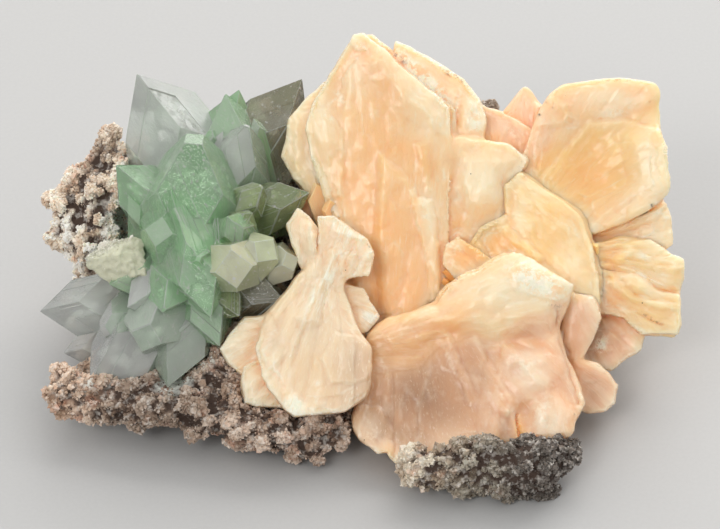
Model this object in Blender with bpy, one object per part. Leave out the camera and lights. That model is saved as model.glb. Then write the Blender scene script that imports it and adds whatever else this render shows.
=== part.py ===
"""A stilbite specimen: peach stilbite sheaves and a green apophyllite cluster on a crumbly matrix.

Every crystal is placed on the display face, the side that the specimen shows. Its places are in
millimetres: across to the right, up along the face, and out towards the viewer. The face leans back,
so display() turns such a place into the upright frame in metres, where the matrix rests on z = 0.
"""

import math
import random
from collections import namedtuple

import bmesh
import bpy
from mathutils import Matrix, Vector, noise

# Sizes are in millimetres and MM turns them into metres
MM = 0.001
FACE_LEAN = math.radians(38)
VIEW_DISTANCE = 700.0
FACE_CENTRE_HEIGHT = 19.6
CONTACT_GAP = 0.3
WELD = 0.004
SEED = 7

PYRAMID_SLOPE = math.radians(60)
PYRAMID_SETBACK = 0.35
NEARLY_HEAD_ON = 0.96

LEAF_OVERLAP = 0.45
LEAF_SHRINK = 0.025
LEAF_JITTER = (-0.03, 0.02)
LEAF_TWIST = math.radians(2.5)

ROCK_VOXEL = 1.15
ROCK_TRIANGLES = 2250
ROCK_LUMP_SIZE = 9.0
ROCK_LUMP_HEIGHT = 1.6
ROCK_GRAIN_SIZE = 2.6
ROCK_GRAIN_HEIGHT = 1.1
HULL_SMOOTHING = math.radians(8)

Crystal = namedtuple("Crystal", "tip axis half length roll blunt")
Sheaf = namedtuple("Sheaf", "outline waist out lean leaves pitch fan bulge", defaults=(None,))
Lump = namedtuple("Lump", "centre radius")

# The green cluster: each crystal by its tip, the way it points, half its width, its length,
# its turn about its own axis and how far its tip is cut off flat
APOPHYLLITES = [
    Crystal((-40.3, 34.5, 2.0), (-0.40, 0.77, 0.50), 8.0, 30, 19, 0.0),
    Crystal((-44.1, 18.1, 5.0), (-0.61, 0.61, 0.50), 4.8, 24, 10, 0.4),
    Crystal((-29.9, 25.2, 13.2), (0.03, 0.82, 0.57), 8.4, 31, 42, 3.0),
    Crystal((-39.9, 7.1, 17.5), (-0.70, 0.51, 0.50), 5.8, 26, 0, 0.3),
    Crystal((-26.8, -9.8, 17.5), (0.27, -0.82, 0.50), 5.0, 24, 45, 0.4),
    Crystal((-22.6, -1.4, 22.9), (0.06, -0.12, 0.99), 4.2, 26, 9, 4.4),
    Crystal((-15.9, 3.2, 19.6), (0.35, 0.20, 0.91), 3.3, 24, 25, 3.4),
    Crystal((-11.4, 0.8, 15.7), (0.50, 0.10, 0.86), 3.2, 20, 10, 2.4),
    Crystal((-57.9, -8.4, 1.5), (-0.97, -0.08, 0.23), 5.2, 27, 12, 0.0),
    Crystal((-53.6, -16.0, 4.5), (-0.90, -0.20, 0.38), 2.4, 18, 0, 0.0),
    Crystal((-48.9, -21.9, 13.0), (-0.62, -0.55, 0.56), 6.6, 28, 35, 0.0),
    Crystal((-34.6, -22.3, 14.0), (-0.20, -0.82, 0.53), 5.4, 27, 22, 0.0),
    Crystal((-39.6, -14.8, 19.4), (-0.25, -0.42, 0.87), 5.2, 24, 12, 3.6),
    Crystal((-24.3, 31.1, -0.5), (-0.15, 0.93, 0.33), 5.2, 28, 30, 0.5),
    Crystal((-21.7, 31.6, -3.0), (0.25, 0.90, 0.35), 5.2, 28, 10, 0.0),
    Crystal((-20.2, 25.6, 6.0), (0.22, 0.74, 0.63), 5.0, 26, 45, 0.8),
    Crystal((-10.4, 33.5, -6.0), (0.52, 0.83, 0.15), 6.4, 34, 20, 0.0),
    Crystal((-24.0, 8.8, 18.6), (0.15, 0.25, 0.95), 2.5, 18, 20, 1.2),
    Crystal((-9.0, 13.0, 6.0), (0.80, 0.30, 0.50), 3.8, 24, 15, 0.3),
    Crystal((-17.5, 14.4, 11.0), (0.45, 0.50, 0.75), 2.6, 20, 40, 0.6),
    Crystal((-19.2, 9.4, 15.0), (0.45, 0.20, 0.87), 2.4, 18, 0, 1.0),
    Crystal((-13.2, -6.8, 13.2), (0.75, -0.20, 0.62), 3.9, 22, 30, 0.6),
    Crystal((-21.6, -9.4, 14.8), (0.45, -0.50, 0.74), 2.8, 18, 20, 0.4),
    Crystal((-45.4, -3.6, 11.5), (-0.75, -0.16, 0.64), 4.4, 22, 25, 0.3),
    Crystal((-42.0, -7.9, 14.8), (-0.55, -0.35, 0.76), 3.8, 20, 0, 0.4),
    Crystal((-35.6, -8.6, 18.0), (-0.15, -0.50, 0.85), 3.8, 20, 15, 0.8),
    Crystal((-25.2, -14.9, 14.5), (0.35, -0.75, 0.56), 4.4, 22, 40, 0.3),
    Crystal((-29.0, 1.0, 19.4), (0.05, -0.05, 1.00), 2.2, 18, 30, 0.8),
    Crystal((-34.0, 27.0, -16), (-0.35, 0.70, -0.62), 5.0, 24, 15, 0.4),
    Crystal((-18.0, 27.0, -17), (0.25, 0.72, -0.64), 4.2, 24, 35, 0.8),
]
CLUSTER_HEART = Lump((-31.0, 6.0, -4.0), (14.0, 15.0, 11.0))

# A whitish crystal at the left, dulled by a crust of its own
COATED_CRYSTALS = [
    Crystal((-50.4, 0.6, 10.5), (-0.93, 0.06, 0.36), 3.7, 11, 25, 1.4),
]

# The tall sheaf in the middle. Each sheaf has the outline of its leaves, the waist they grow from,
# how far out the front leaf is there and how it slopes, the number of leaves, their pitch at the
# waist and how it widens, and the spot where the leaves bulge, with its height
MIDDLE_SHEAVES = [
    Sheaf(
        [(-1, 41), (0.5, 41.2), (4.9, 37.9), (9, 34.2), (16, 28.3), (16.4, 21), (16, 9), (15.5, -4),
         (10, -10), (-1, -13), (-4, 0), (-5.2, 9.3), (-8, 17), (-9.8, 24), (-8.6, 28.5),
         (-6.3, 32.5), (-4, 36.5)],
        (5, -12), 6.0, (0.02, 0.0), 4, 1.2, 0.03, (4, 14, 1.0),
    ),
    Sheaf(
        [(6.5, 40), (12.5, 37), (18.7, 33.3), (21.6, 29.5), (22.3, 27), (22, 22), (20, 14),
         (16, 2), (10, -4), (5, 10), (3, 30)],
        (8, -6), 3.4, (-0.06, 0.0), 3, 1.3, 0.03,
    ),
    Sheaf(
        [(-9.4, 30), (-6, 33), (-2, 36), (4, 20), (0, 4), (-5.5, 8), (-11.6, 15.5),
         (-13.9, 19.5), (-12.4, 26.2)],
        (3, -2), 3.2, (0.08, 0.0), 3, 1.3, 0.03,
    ),
    Sheaf(
        [(22.2, 22.2), (26.6, 21.5), (28.4, 20), (29.9, 18.6), (26.2, 15.1), (27, 12), (26.7, 8),
         (24, 4), (18.4, 0.4), (15, -3), (14, 4), (14, 20), (18, 23)],
        (14, -6), 4.8, (-0.12, 0.04), 4, 1.2, 0.04, (21, 13, 0.8),
    ),
    Sheaf(
        [(15.6, 3.6), (17.6, 4.8), (23.4, 0.4), (22, -1.5), (18, -2.8), (15.0, 0.2)],
        (15, -3), 8.0, (-0.1, 0.0), 2, 1.5, 0.1,
    ),
]

# The blade that crosses between the middle sheaf and the right one
CROSSING_SHEAVES = [
    Sheaf(
        [(28.8, 16.6), (39.2, 8.9), (41.6, 3.7), (42.8, -2.8), (42.6, -7), (38, -6), (30, -3),
         (22, -1), (20, 3), (22, 6), (26.8, 9), (26.4, 14.3)],
        (24, 14), 5.0, (0.05, -0.12), 4, 1.3, 0.06,
    ),
]

# The broad, hollow sheaf at the upper right, with the small blades behind it
RIGHT_SHEAVES = [
    Sheaf(
        [(31.3, 25), (32.6, 29.2), (35, 31.6), (37.5, 32.8), (45.4, 33.3), (52.4, 33.0),
         (54.2, 30.5), (53.9, 23), (55, 21), (55.4, 17), (55.8, 13.6), (54, 11.6), (50.8, 9.8),
         (47.5, 7.6), (42.8, 6), (37, 6), (30, 9), (29, 17)],
        (31, 10), 2.6, (0.03, -0.06), 5, 1.2, 0.04, (41.5, 19, -3.2),
    ),
    Sheaf(
        [(34, 29), (38, 31.6), (45.4, 31.9), (51, 31.4), (52.6, 28.5), (47, 26.6), (38, 26.2)],
        (33, 18), 4.0, (0.0, -0.12), 1, 3.4, 0.02,
    ),
    Sheaf(
        [(28, 30.4), (29.7, 31.7), (32.8, 28.5), (33, 22), (28, 18), (25, 26)],
        (29, 14), -2.0, (0.0, -0.05), 2, 1.5, 0.05,
    ),
    Sheaf(
        [(22, 28.4), (25.2, 27.6), (31, 24), (31, 16), (24, 14), (21, 20)],
        (27, 12), 0.0, (0.0, -0.05), 2, 1.5, 0.05,
    ),
    Sheaf(
        [(54, 11.8), (56.3, 8.7), (55.9, 3.7), (50, 1.5), (44, 2), (38, 5), (46, 10)],
        (38, 6), 0.0, (0.05, 0.0), 3, 1.3, 0.05,
    ),
]

# The spray at the right edge, and the small blade under it
EDGE_SHEAVES = [
    Sheaf(
        [(47, 5), (52.2, 4.2), (55.8, 1.5), (57.6, 0.5), (58.1, -2.8), (57.3, -6.4), (50, -6),
         (40, -3), (40, 3)],
        (39, 1), 3.5, (0.0, 0.0), 3, 1.3, 0.05,
    ),
    Sheaf(
        [(57.3, -6.0), (57.5, -11), (57, -12.4), (50.8, -12.4), (47.5, -9.4), (41, -8),
         (39, -1), (48, -2)],
        (39, 0), 4.5, (0.02, -0.05), 3, 1.3, 0.05,
    ),
    Sheaf(
        [(42.7, -9), (44, -6.5), (47.5, -7.5), (51, -12.6), (50.6, -15.2), (46.8, -17.4),
         (45, -19), (42.7, -17.9), (37, -17), (37, -9)],
        (37, -7), 2.5, (0.0, -0.05), 3, 1.3, 0.05,
    ),
]

# The low, wide sheaf in front, with the pinkish blades at its right
LOWER_SHEAVES = [
    Sheaf(
        [(27.3, 1.8), (31.1, 0.4), (35.6, -2.1), (38.3, -3.6), (37.4, -7.3), (35.6, -12.5),
         (32.8, -14.6), (25.6, -15.2), (15.3, -14.4), (7.7, -16.2), (1.0, -17.6), (0.0, -13.5),
         (4.6, -9.8), (9.4, -8.6), (13.5, -7.4), (16.6, -3.6), (21.8, -0.9)],
        (2, -14), 13.4, (0.03, -0.05), 3, 1.3, 0.03, (24, -7, 1.0),
    ),
    Sheaf(
        [(36, -11), (37.3, -16.3), (38.7, -19.7), (40.5, -25), (38.7, -28.2), (33.8, -30.6),
         (28.4, -32), (24, -31.8), (14, -22), (6, -13), (20, -10)],
        (5, -8), 11.0, (0.07, -0.24), 4, 1.2, 0.03,
    ),
    Sheaf(
        [(2.5, -12), (0, -22), (-1.4, -28.3), (-0.4, -31.4), (2.9, -33.9), (4.9, -33.6),
         (6.7, -35.8), (10.3, -35.4), (17.7, -33), (25, -32), (27, -24), (20, -12), (8, -9)],
        (5, -8), 11.4, (0.07, -0.32), 4, 1.1, 0.03,
    ),
    Sheaf(
        [(24.9, -21.8), (26.1, -13.5), (29, -15.4), (33.9, -16.2), (34.2, -21.8), (31.1, -24.2),
         (26.6, -26.8)],
        (22, -12), 14.4, (0.07, -0.24), 1, 1.8, 0.0,
    ),
    Sheaf(
        [(37.6, -4.6), (38.5, -5.6), (41.8, -6.1), (43.1, -9.4), (39.4, -18.6), (35.6, -14.5)],
        (36, -18), 10.5, (0.0, 0.0), 2, 1.8, 0.08,
    ),
    Sheaf(
        [(38.0, -17.0), (42.6, -17.7), (46.5, -21.8), (45.8, -24.7), (43.8, -26.4),
         (40.7, -26.4), (36, -24)],
        (35, -20), 10.5, (0.0, 0.0), 2, 1.8, 0.08,
    ),
    Sheaf(
        [(29.4, -32), (30.8, -26.6), (31.8, -23.5), (33.5, -23.1), (35.6, -24.2), (39, -26.6),
         (38.3, -30.6), (34, -32)],
        (33, -33), 20.0, (0.07, -0.24), 2, 1.6, 0.05,
    ),
    Sheaf(
        [(23.8, -32.4), (23.6, -28.7), (25.6, -26.6), (28.5, -26.8), (29, -32.4)],
        (26, -33), 19.6, (0.05, -0.24), 2, 1.6, 0.05,
    ),
]

# The small cream bow tie in front of the rest
BOW_TIE_SHEAVES = [
    Sheaf(
        [(-5, 3), (-11, -2.5), (-15.3, -7.3), (-16.8, -10), (-18.4, -15.4), (-17.6, -20),
         (-15.3, -23.5), (-13, -26.2), (-11.9, -27.2), (-7.2, -26.8), (-2.8, -26.2),
         (1.4, -23.5), (2.1, -20.8), (2.1, -15.2), (0.2, -12.9), (-1.8, -8.2), (-2.9, -4.2),
         (-3, 2)],
        (-6, 1), 14.0, (0.0, -0.24), 5, 1.1, 0.05,
    ),
    Sheaf(
        [(-7.7, 8.5), (-5, 8.5), (-1.4, 6.3), (1.4, 4.6), (2.4, 1.9), (1.4, -1.3),
         (-1.4, -1.9), (-4, -3), (-7, -2), (-7, 3)],
        (-6, -2), 14.2, (0.1, -0.1), 3, 1.2, 0.1,
    ),
    Sheaf(
        [(-12.9, 7.1), (-11.3, 9.9), (-9.4, 8.6), (-6.0, 4.2), (-4.5, -1), (-8.3, -2.5),
         (-10.4, -0.4), (-12.3, 3.5)],
        (-6, -2), 13.2, (0.0, -0.1), 3, 1.2, 0.1,
    ),
    Sheaf(
        [(-14.5, -9.0), (-20.7, -9.6), (-25.1, -15), (-23.4, -17.8), (-21.2, -19.8),
         (-13, -20)],
        (-12, -13), 15.6, (0.06, -0.05), 3, 1.3, 0.1,
    ),
    Sheaf(
        [(-21, -18.8), (-20.8, -25), (-12.8, -25.6), (-10, -20), (-14, -15.5)],
        (-12, -14), 16.6, (0.0, -0.1), 3, 1.3, 0.1,
    ),
    Sheaf(
        [(-3.2, -3.4), (0.4, -4.4), (1.3, -6.4), (3.4, -9.2), (0.9, -12), (-4, -11)],
        (-4, -7), 13.2, (0.0, -0.1), 2, 1.5, 0.1,
    ),
]

# The matrix where it shows: lumps on the display face
SHOWN_LUMPS = [
    Lump((-45.4, 22.0, -10), (2.2, 2.8, 3)), Lump((-43.0, 18.5, -9), (3.6, 3.8, 4)),
    Lump((-47.6, 19.6, -11), (2.0, 1.6, 2.5)), Lump((-50.0, 14.8, -9), (3.4, 2.8, 3.5)),
    Lump((-45.5, 13.0, -8), (4.8, 4.6, 5)), Lump((-54.8, 12.4, -9), (1.8, 0.9, 1.2)),
    Lump((-52.2, 12.0, -9), (2.2, 1.6, 2)), Lump((-51.0, 8.6, -8), (4.0, 3.4, 4)),
    Lump((-46.5, 7.0, -7), (5, 5, 5)), Lump((-53.0, 4.6, -8), (3.0, 2.6, 3.5)),
    Lump((-43.5, 9.0, -7), (5, 6, 5)), Lump((-48.5, 2.6, -4), (3.4, 2.6, 4)),
    Lump((-55.0, -22.6, 11), (1.9, 1.5, 2)), Lump((-51.4, -21.8, 11), (3.0, 2.4, 3)),
    Lump((-53.0, -25.6, 11), (2.2, 1.7, 2)), Lump((-47.0, -23.4, 12), (4, 3.0, 4)),
    Lump((-41.5, -24.2, 13), (4.6, 3.2, 4.5)), Lump((-49.0, -27.2, 12), (2.2, 1.5, 2)),
    Lump((-43.5, -27.4, 12), (2.6, 1.9, 2.5)), Lump((-54.5, -19.4, 10), (1.6, 1.2, 1.5)),
    Lump((-36.0, -24.4, 14), (4.5, 2.6, 4)), Lump((-31.0, -25.0, 15), (3.6, 2.6, 3.5)),
    Lump((-27.0, -28.6, 15), (2.6, 2.6, 3)), Lump((-22.4, -26.5, 16), (4.4, 4.0, 4.5)),
    Lump((-16.0, -29.6, 16), (4.4, 3.2, 4)), Lump((-12.4, -33.6, 16), (2.8, 2.0, 2.5)),
    Lump((-8.5, -30.4, 16), (4, 3.2, 4)), Lump((-3.8, -29.0, 16), (2.8, 2.4, 3)),
    Lump((-21.5, -31.4, 16), (2.2, 1.4, 2)), Lump((-7.5, -35.0, 16), (2.4, 1.6, 2)),
    Lump((10.4, -36.2, 23), (3.6, 2.8, 3.5)), Lump((15.0, -36.4, 23), (4.4, 3.8, 4.5)),
    Lump((20.6, -35.6, 23), (4.6, 4.4, 5)), Lump((26.6, -36.4, 23), (4.6, 4.6, 5)),
    Lump((32.0, -35.6, 22), (4.2, 4.4, 5)), Lump((36.4, -32.4, 20), (2.6, 2.0, 3)),
    Lump((29.6, -39.4, 22), (4.0, 2.6, 3)), Lump((20.0, -39.6, 22), (5.0, 1.9, 2.5)),
    Lump((23.2, 27.6, -21), (2.2, 1.7, 2.5)), Lump((19.5, 24.0, -21), (5, 4, 5)),
]

# The body of the matrix behind the crystals, in the upright frame: across, back and up
HIDDEN_LUMPS = [
    Lump((-4, 4, 4), (37, 26, 13)), Lump((-36, 14, 13), (14, 12, 12)),
    Lump((-26, 24, 14), (14, 10, 12)), Lump((-5, 24, 17), (19, 12, 18)),
    Lump((17, 24, 17), (18, 12, 17)), Lump((34, 13, 13), (14, 14, 14)),
    Lump((21, -26, 0), (15, 14, 7)), Lump((-26, -12, 7), (19, 14, 8)),
    Lump((-8, -15, 6), (16, 14, 8)), Lump((34, -4, 4), (10, 12, 7)),
    Lump((-42, 4, 8), (10, 12, 8)), Lump((-42, -10, 8), (9, 9, 6)),
]

SHEAF_PIECES = [
    ("stilbite_bow_tie", "cream_stilbite", BOW_TIE_SHEAVES),
    ("stilbite_lower_sheaf", "stilbite", LOWER_SHEAVES),
    ("stilbite_middle_sheaf", "stilbite", MIDDLE_SHEAVES),
    ("stilbite_crossing_blade", "stilbite", CROSSING_SHEAVES),
    ("stilbite_right_sheaf", "stilbite", RIGHT_SHEAVES),
    ("stilbite_edge_spray", "stilbite", EDGE_SHEAVES),
]
CRYSTAL_PIECES = [
    ("coated_apophyllite", "coated_crystal", COATED_CRYSTALS),
    ("apophyllite_cluster", "apophyllite", APOPHYLLITES),
]
MATERIALS = {
    "matrix": ((0.42, 0.33, 0.28), 0.95),
    "apophyllite": ((0.36, 0.52, 0.40), 0.12),
    "coated_crystal": ((0.62, 0.60, 0.48), 0.6),
    "stilbite": ((0.90, 0.62, 0.38), 0.35),
    "cream_stilbite": ((0.86, 0.70, 0.50), 0.35),
}


def turned(across, up, out):
    """A direction on the display face, in the upright frame."""
    lean, rise = math.sin(FACE_LEAN), math.cos(FACE_LEAN)
    return Vector((across, up * lean - out * rise, up * rise + out * lean))


def display(across, up, out):
    """A place on the display face as seen from the view distance, in the upright frame in metres."""
    nearer = 1 - out / VIEW_DISTANCE
    place = turned(across * nearer, up * nearer, out)
    place.z += FACE_CENTRE_HEIGHT
    return place * MM


def cut_back(shape, point, normal):
    """Cuts off what lies beyond a plane, and closes the cut with one flat face."""
    everything = shape.verts[:] + shape.edges[:] + shape.faces[:]
    cut = bmesh.ops.bisect_plane(
        shape, geom=everything, dist=1e-7, plane_co=point, plane_no=normal, clear_outer=True
    )
    rim = [e for e in cut["geom_cut"] if isinstance(e, bmesh.types.BMEdge)]
    if rim:
        bmesh.ops.edgenet_fill(shape, edges=rim)


def stance(crystal):
    """The turn that points a crystal along its axis. With no roll, a side of the prism faces the viewer."""
    axis = turned(*crystal.axis).normalized()
    viewer = turned(0, 0, 1) if crystal.axis[2] < NEARLY_HEAD_ON else turned(0, 1, 0)
    front = (viewer - axis * viewer.dot(axis)).normalized()
    stand = Matrix((front.cross(axis), front, axis)).transposed().to_4x4()
    return stand @ Matrix.Rotation(math.radians(crystal.roll), 4, "Z")


def apophyllite(crystal, dice):
    """A square prism whose four pyramid faces stand over its corners and meet at the tip."""
    half, length = crystal.half * MM, crystal.length * MM
    shape = bmesh.new()
    bmesh.ops.create_cube(
        shape, size=1.0, matrix=Matrix.Translation((0, 0, -length / 2))
        @ Matrix.Diagonal((2 * half, 2 * half, length, 1))
    )
    for quarter in range(4):
        corner = math.radians(45 + 90 * quarter)
        normal = Vector((
            math.sin(PYRAMID_SLOPE) * math.cos(corner),
            math.sin(PYRAMID_SLOPE) * math.sin(corner),
            math.cos(PYRAMID_SLOPE),
        ))
        setback = dice.uniform(0, PYRAMID_SETBACK) * MM
        cut_back(shape, Vector((0, 0, -setback)), normal)
    if crystal.blunt:
        cut_back(shape, Vector((0, 0, -crystal.blunt * MM)), Vector((0, 0, 1)))
    shape.transform(Matrix.Translation(display(*crystal.tip)) @ stance(crystal))
    return shape


def leaf(outline, front, back, bulge):
    """One stilbite leaf: a closed plate between two outlines at the given depths. Where it bulges,
    each side is a low pyramid, and where the bulge is negative it is a hollow."""
    shape = bmesh.new()
    near = [shape.verts.new(display(u, v, front(u, v))) for u, v in outline]
    far = [shape.verts.new(display(u, v, back(u, v))) for u, v in outline]
    corners = list(zip(range(len(outline)), [*range(1, len(outline)), 0]))
    if bulge:
        u, v, height = bulge
        near_peak = shape.verts.new(display(u, v, front(u, v) + height))
        far_peak = shape.verts.new(display(u, v, back(u, v) + height))
        for i, j in corners:
            shape.faces.new((near[i], near[j], near_peak))
            shape.faces.new((far[j], far[i], far_peak))
    else:
        shape.faces.new(near)
        shape.faces.new(far[::-1])
    for i, j in corners:
        shape.faces.new((near[j], near[i], far[i], far[j]))
    bmesh.ops.recalc_face_normals(shape, faces=shape.faces)
    return shape


def sheaf(spec, dice):
    """The leaves of a sheaf, packed at the waist and fanned apart behind the front one."""
    waist = Vector(spec.waist)
    points = [Vector(p) for p in spec.outline]
    middle = sum(points, Vector((0, 0))) / len(points)
    along = (middle - waist).normalized()
    leaves = []
    for k in range(spec.leaves):
        size = 1 - k * LEAF_SHRINK + (dice.uniform(*LEAF_JITTER) if k else 0)
        turn = Matrix.Rotation(dice.uniform(-LEAF_TWIST, LEAF_TWIST) if k else 0, 2)
        outline = [waist + turn @ (p - waist) * size for p in points]

        def depth(u, v, layers, spec=spec, waist=waist, along=along):
            step = Vector((u, v)) - waist
            lean = step.dot(Vector(spec.lean))
            return spec.out + lean - layers * (spec.pitch + spec.fan * step.dot(along))

        def front(u, v, k=k, depth=depth):
            return depth(u, v, k)

        def back(u, v, k=k, depth=depth):
            return depth(u, v, k + 1) - LEAF_OVERLAP

        leaves.append(leaf([tuple(p) for p in outline], front, back, spec.bulge))
    return leaves


def ball(centre, radius, subdivisions=2):
    """A faceted ball with its own half-widths, in metres."""
    shape = bmesh.new()
    bmesh.ops.create_icosphere(
        shape, subdivisions=subdivisions, radius=1.0,
        matrix=Matrix.Translation(centre) @ Matrix.Diagonal((*radius, 1)),
    )
    return shape


def swell(shape, by):
    """Moves every face of a convex shape outwards by the same amount."""
    shape.normal_update()
    places = [v.co + v.normal * v.calc_shell_factor() * by for v in shape.verts]
    for vert, place in zip(shape.verts, places):
        vert.co = place


def hull(shapes):
    """The convex shape around several others."""
    whole = bmesh.new()
    for shape in shapes:
        for vert in shape.verts:
            whole.verts.new(vert.co)
    around = bmesh.ops.convex_hull(whole, input=whole.verts)
    inside = [v for v in around["geom_interior"] if isinstance(v, bmesh.types.BMVert)]
    bmesh.ops.delete(whole, geom=inside, context="VERTS")
    bmesh.ops.dissolve_limit(
        whole, angle_limit=HULL_SMOOTHING, verts=whole.verts, edges=whole.edges
    )
    bmesh.ops.triangulate(whole, faces=whole.faces)
    bmesh.ops.recalc_face_normals(whole, faces=whole.faces)
    return whole


def as_object(name, shape):
    mesh = bpy.data.meshes.new(name)
    shape.to_mesh(mesh)
    obj = bpy.data.objects.new(name, mesh)
    bpy.context.scene.collection.objects.link(obj)
    return obj


def as_group(name, shapes):
    """A collection of working pieces, for a Boolean to join or to cut with."""
    group = bpy.data.collections.new(name)
    bpy.context.scene.collection.children.link(group)
    for shape in shapes:
        obj = as_object(name, shape)
        bpy.context.scene.collection.objects.unlink(obj)
        group.objects.link(obj)
        obj.hide_render = True
        obj.display_type = "WIRE"
    return group


def clear_group(group):
    for obj in list(group.objects):
        bpy.data.objects.remove(obj)
    bpy.data.collections.remove(group)


def boolean(obj, operation, group):
    modifier = obj.modifiers.new(operation.title(), "BOOLEAN")
    modifier.solver = "EXACT"
    modifier.operation = operation
    modifier.operand_type = "COLLECTION"
    modifier.collection = group


def settle(obj):
    """Replaces the object's mesh by what its modifiers make of it."""
    bpy.context.view_layer.update()
    graph = bpy.context.evaluated_depsgraph_get()
    mesh = bpy.data.meshes.new_from_object(obj.evaluated_get(graph))
    obj.modifiers.clear()
    obj.data = mesh


def islands(shape):
    """The separate closed bodies of a mesh, as lists of faces."""
    left, found = set(shape.faces), []
    while left:
        stack, island = [left.pop()], []
        while stack:
            face = stack.pop()
            island.append(face)
            for edge in face.edges:
                for other in edge.link_faces:
                    if other in left:
                        left.remove(other)
                        stack.append(other)
        found.append(island)
    return found


def keep_largest(obj):
    """Drops the chips that a cut left loose, and merges points that fall together."""
    shape = bmesh.new()
    shape.from_mesh(obj.data)
    bmesh.ops.remove_doubles(shape, verts=shape.verts, dist=WELD * MM)
    bodies = sorted(islands(shape), key=lambda faces: sum(f.calc_area() for f in faces))
    for loose in bodies[:-1]:
        verts = list({v for f in loose for v in f.verts})
        bmesh.ops.delete(shape, geom=verts, context="VERTS")
    shape.to_mesh(obj.data)
    shape.free()


def finish(obj, material):
    """Gives a solid its colour, and flat shading as crystal faces have."""
    colour, roughness = MATERIALS[material]
    made = bpy.data.materials.get(material) or bpy.data.materials.new(material)
    made.use_nodes = True
    shader = made.node_tree.nodes["Principled BSDF"]
    shader.inputs["Base Color"].default_value = (*colour, 1)
    shader.inputs["Roughness"].default_value = roughness
    shader.inputs["Metallic"].default_value = 0.0
    obj.data.materials.clear()
    obj.data.materials.append(made)
    obj.data.shade_flat()


def grown_together(name, material, shapes, in_front):
    """One solid from overlapping shapes, cut clear of the solids that lie in front of it."""
    obj = as_object(name, shapes[0])
    rest = as_group(name + "_rest", shapes[1:])
    boolean(obj, "UNION", rest)
    settle(obj)
    clear_group(rest)
    cut_clear(obj, in_front)
    finish(obj, material)


def cut_clear(obj, in_front):
    """Takes away what the shapes in front cover, with the gap that neighbours keep."""
    if in_front:
        cutters = as_group(obj.name + "_cutters", [with_room(shape) for shape in in_front])
        boolean(obj, "DIFFERENCE", cutters)
        settle(obj)
        clear_group(cutters)
    keep_largest(obj)


def with_room(shape):
    copy = shape.copy()
    swell(copy, CONTACT_GAP * MM)
    return copy


def face_radius(radius):
    """The half-widths of a lump on the display face, in the upright frame in metres."""
    across, up, out = radius
    lean, rise = math.sin(FACE_LEAN), math.cos(FACE_LEAN)
    back = math.hypot(up * lean, out * rise)
    high = math.hypot(up * rise, out * lean)
    return Vector((across, back, high)) * MM


def shown_ball(lump):
    return ball(display(*lump.centre), face_radius(lump.radius))


def hidden_ball(lump):
    return ball(Vector(lump.centre) * MM, Vector(lump.radius) * MM)


def rock():
    """The matrix: lumps melted into one body, roughened, and flat where it stands."""
    whole = bmesh.new()
    lumps = [shown_ball(lump) for lump in SHOWN_LUMPS]
    lumps += [hidden_ball(lump) for lump in HIDDEN_LUMPS]
    for shape in lumps:
        mesh = bpy.data.meshes.new("lump")
        shape.to_mesh(mesh)
        whole.from_mesh(mesh)
        bpy.data.meshes.remove(mesh)
    obj = as_object("matrix", whole)
    melt = obj.modifiers.new("Melt", "REMESH")
    melt.mode = "VOXEL"
    melt.voxel_size = ROCK_VOXEL * MM
    settle(obj)
    roughen(obj)
    thin = obj.modifiers.new("Thin", "DECIMATE")
    thin.ratio = ROCK_TRIANGLES / sum(len(face.vertices) - 2 for face in obj.data.polygons)
    settle(obj)
    shape = bmesh.new()
    shape.from_mesh(obj.data)
    cut_back(shape, Vector((0, 0, 0)), Vector((0, 0, -1)))
    bmesh.ops.triangulate(shape, faces=shape.faces)
    shape.to_mesh(obj.data)
    return obj


def roughen(obj):
    """Raises broad lumps and small grains on the matrix."""
    shape = bmesh.new()
    shape.from_mesh(obj.data)
    shape.normal_update()
    for vert in shape.verts:
        place = vert.co / MM
        lumps = noise.noise(place / ROCK_LUMP_SIZE) * ROCK_LUMP_HEIGHT
        grains = noise.noise(place / ROCK_GRAIN_SIZE) * ROCK_GRAIN_HEIGHT
        vert.co += vert.normal * (lumps + grains) * MM
    shape.to_mesh(obj.data)
    shape.free()


def main():
    for obj in list(bpy.data.objects):
        bpy.data.objects.remove(obj)
    dice = random.Random(SEED)
    in_front, blocks = [], []
    for name, material, specs in SHEAF_PIECES:
        sheaves = [sheaf(spec, dice) for spec in specs]
        leaves = [shape for group in sheaves for shape in group]
        grown_together(name, material, leaves, in_front)
        in_front += leaves
        blocks += [hull(group) for group in sheaves]
    for name, material, specs in CRYSTAL_PIECES:
        crystals = [apophyllite(spec, dice) for spec in specs]
        if name == "apophyllite_cluster":
            crystals.append(shown_ball(CLUSTER_HEART))
        grown_together(name, material, crystals, in_front)
        in_front += crystals
        blocks += crystals
    matrix = rock()
    cut_clear(matrix, blocks)
    finish(matrix, "matrix")


main()
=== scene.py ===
"""The looks of a stilbite specimen: peach stilbite sheaves, green apophyllite and a crumbly matrix."""

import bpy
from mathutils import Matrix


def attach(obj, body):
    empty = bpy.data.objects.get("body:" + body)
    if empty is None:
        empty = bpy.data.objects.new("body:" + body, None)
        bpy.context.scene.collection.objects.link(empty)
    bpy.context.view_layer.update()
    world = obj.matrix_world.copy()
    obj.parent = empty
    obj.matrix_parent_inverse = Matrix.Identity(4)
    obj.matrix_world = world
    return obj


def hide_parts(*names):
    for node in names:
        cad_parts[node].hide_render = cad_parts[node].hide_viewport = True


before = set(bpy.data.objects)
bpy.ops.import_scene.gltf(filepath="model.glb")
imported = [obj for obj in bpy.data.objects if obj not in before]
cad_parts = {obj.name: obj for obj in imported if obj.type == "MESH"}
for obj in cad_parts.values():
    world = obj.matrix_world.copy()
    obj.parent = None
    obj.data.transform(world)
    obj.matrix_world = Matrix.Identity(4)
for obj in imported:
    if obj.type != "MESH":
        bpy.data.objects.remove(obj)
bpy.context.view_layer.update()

import math
import random
from collections import namedtuple

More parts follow.
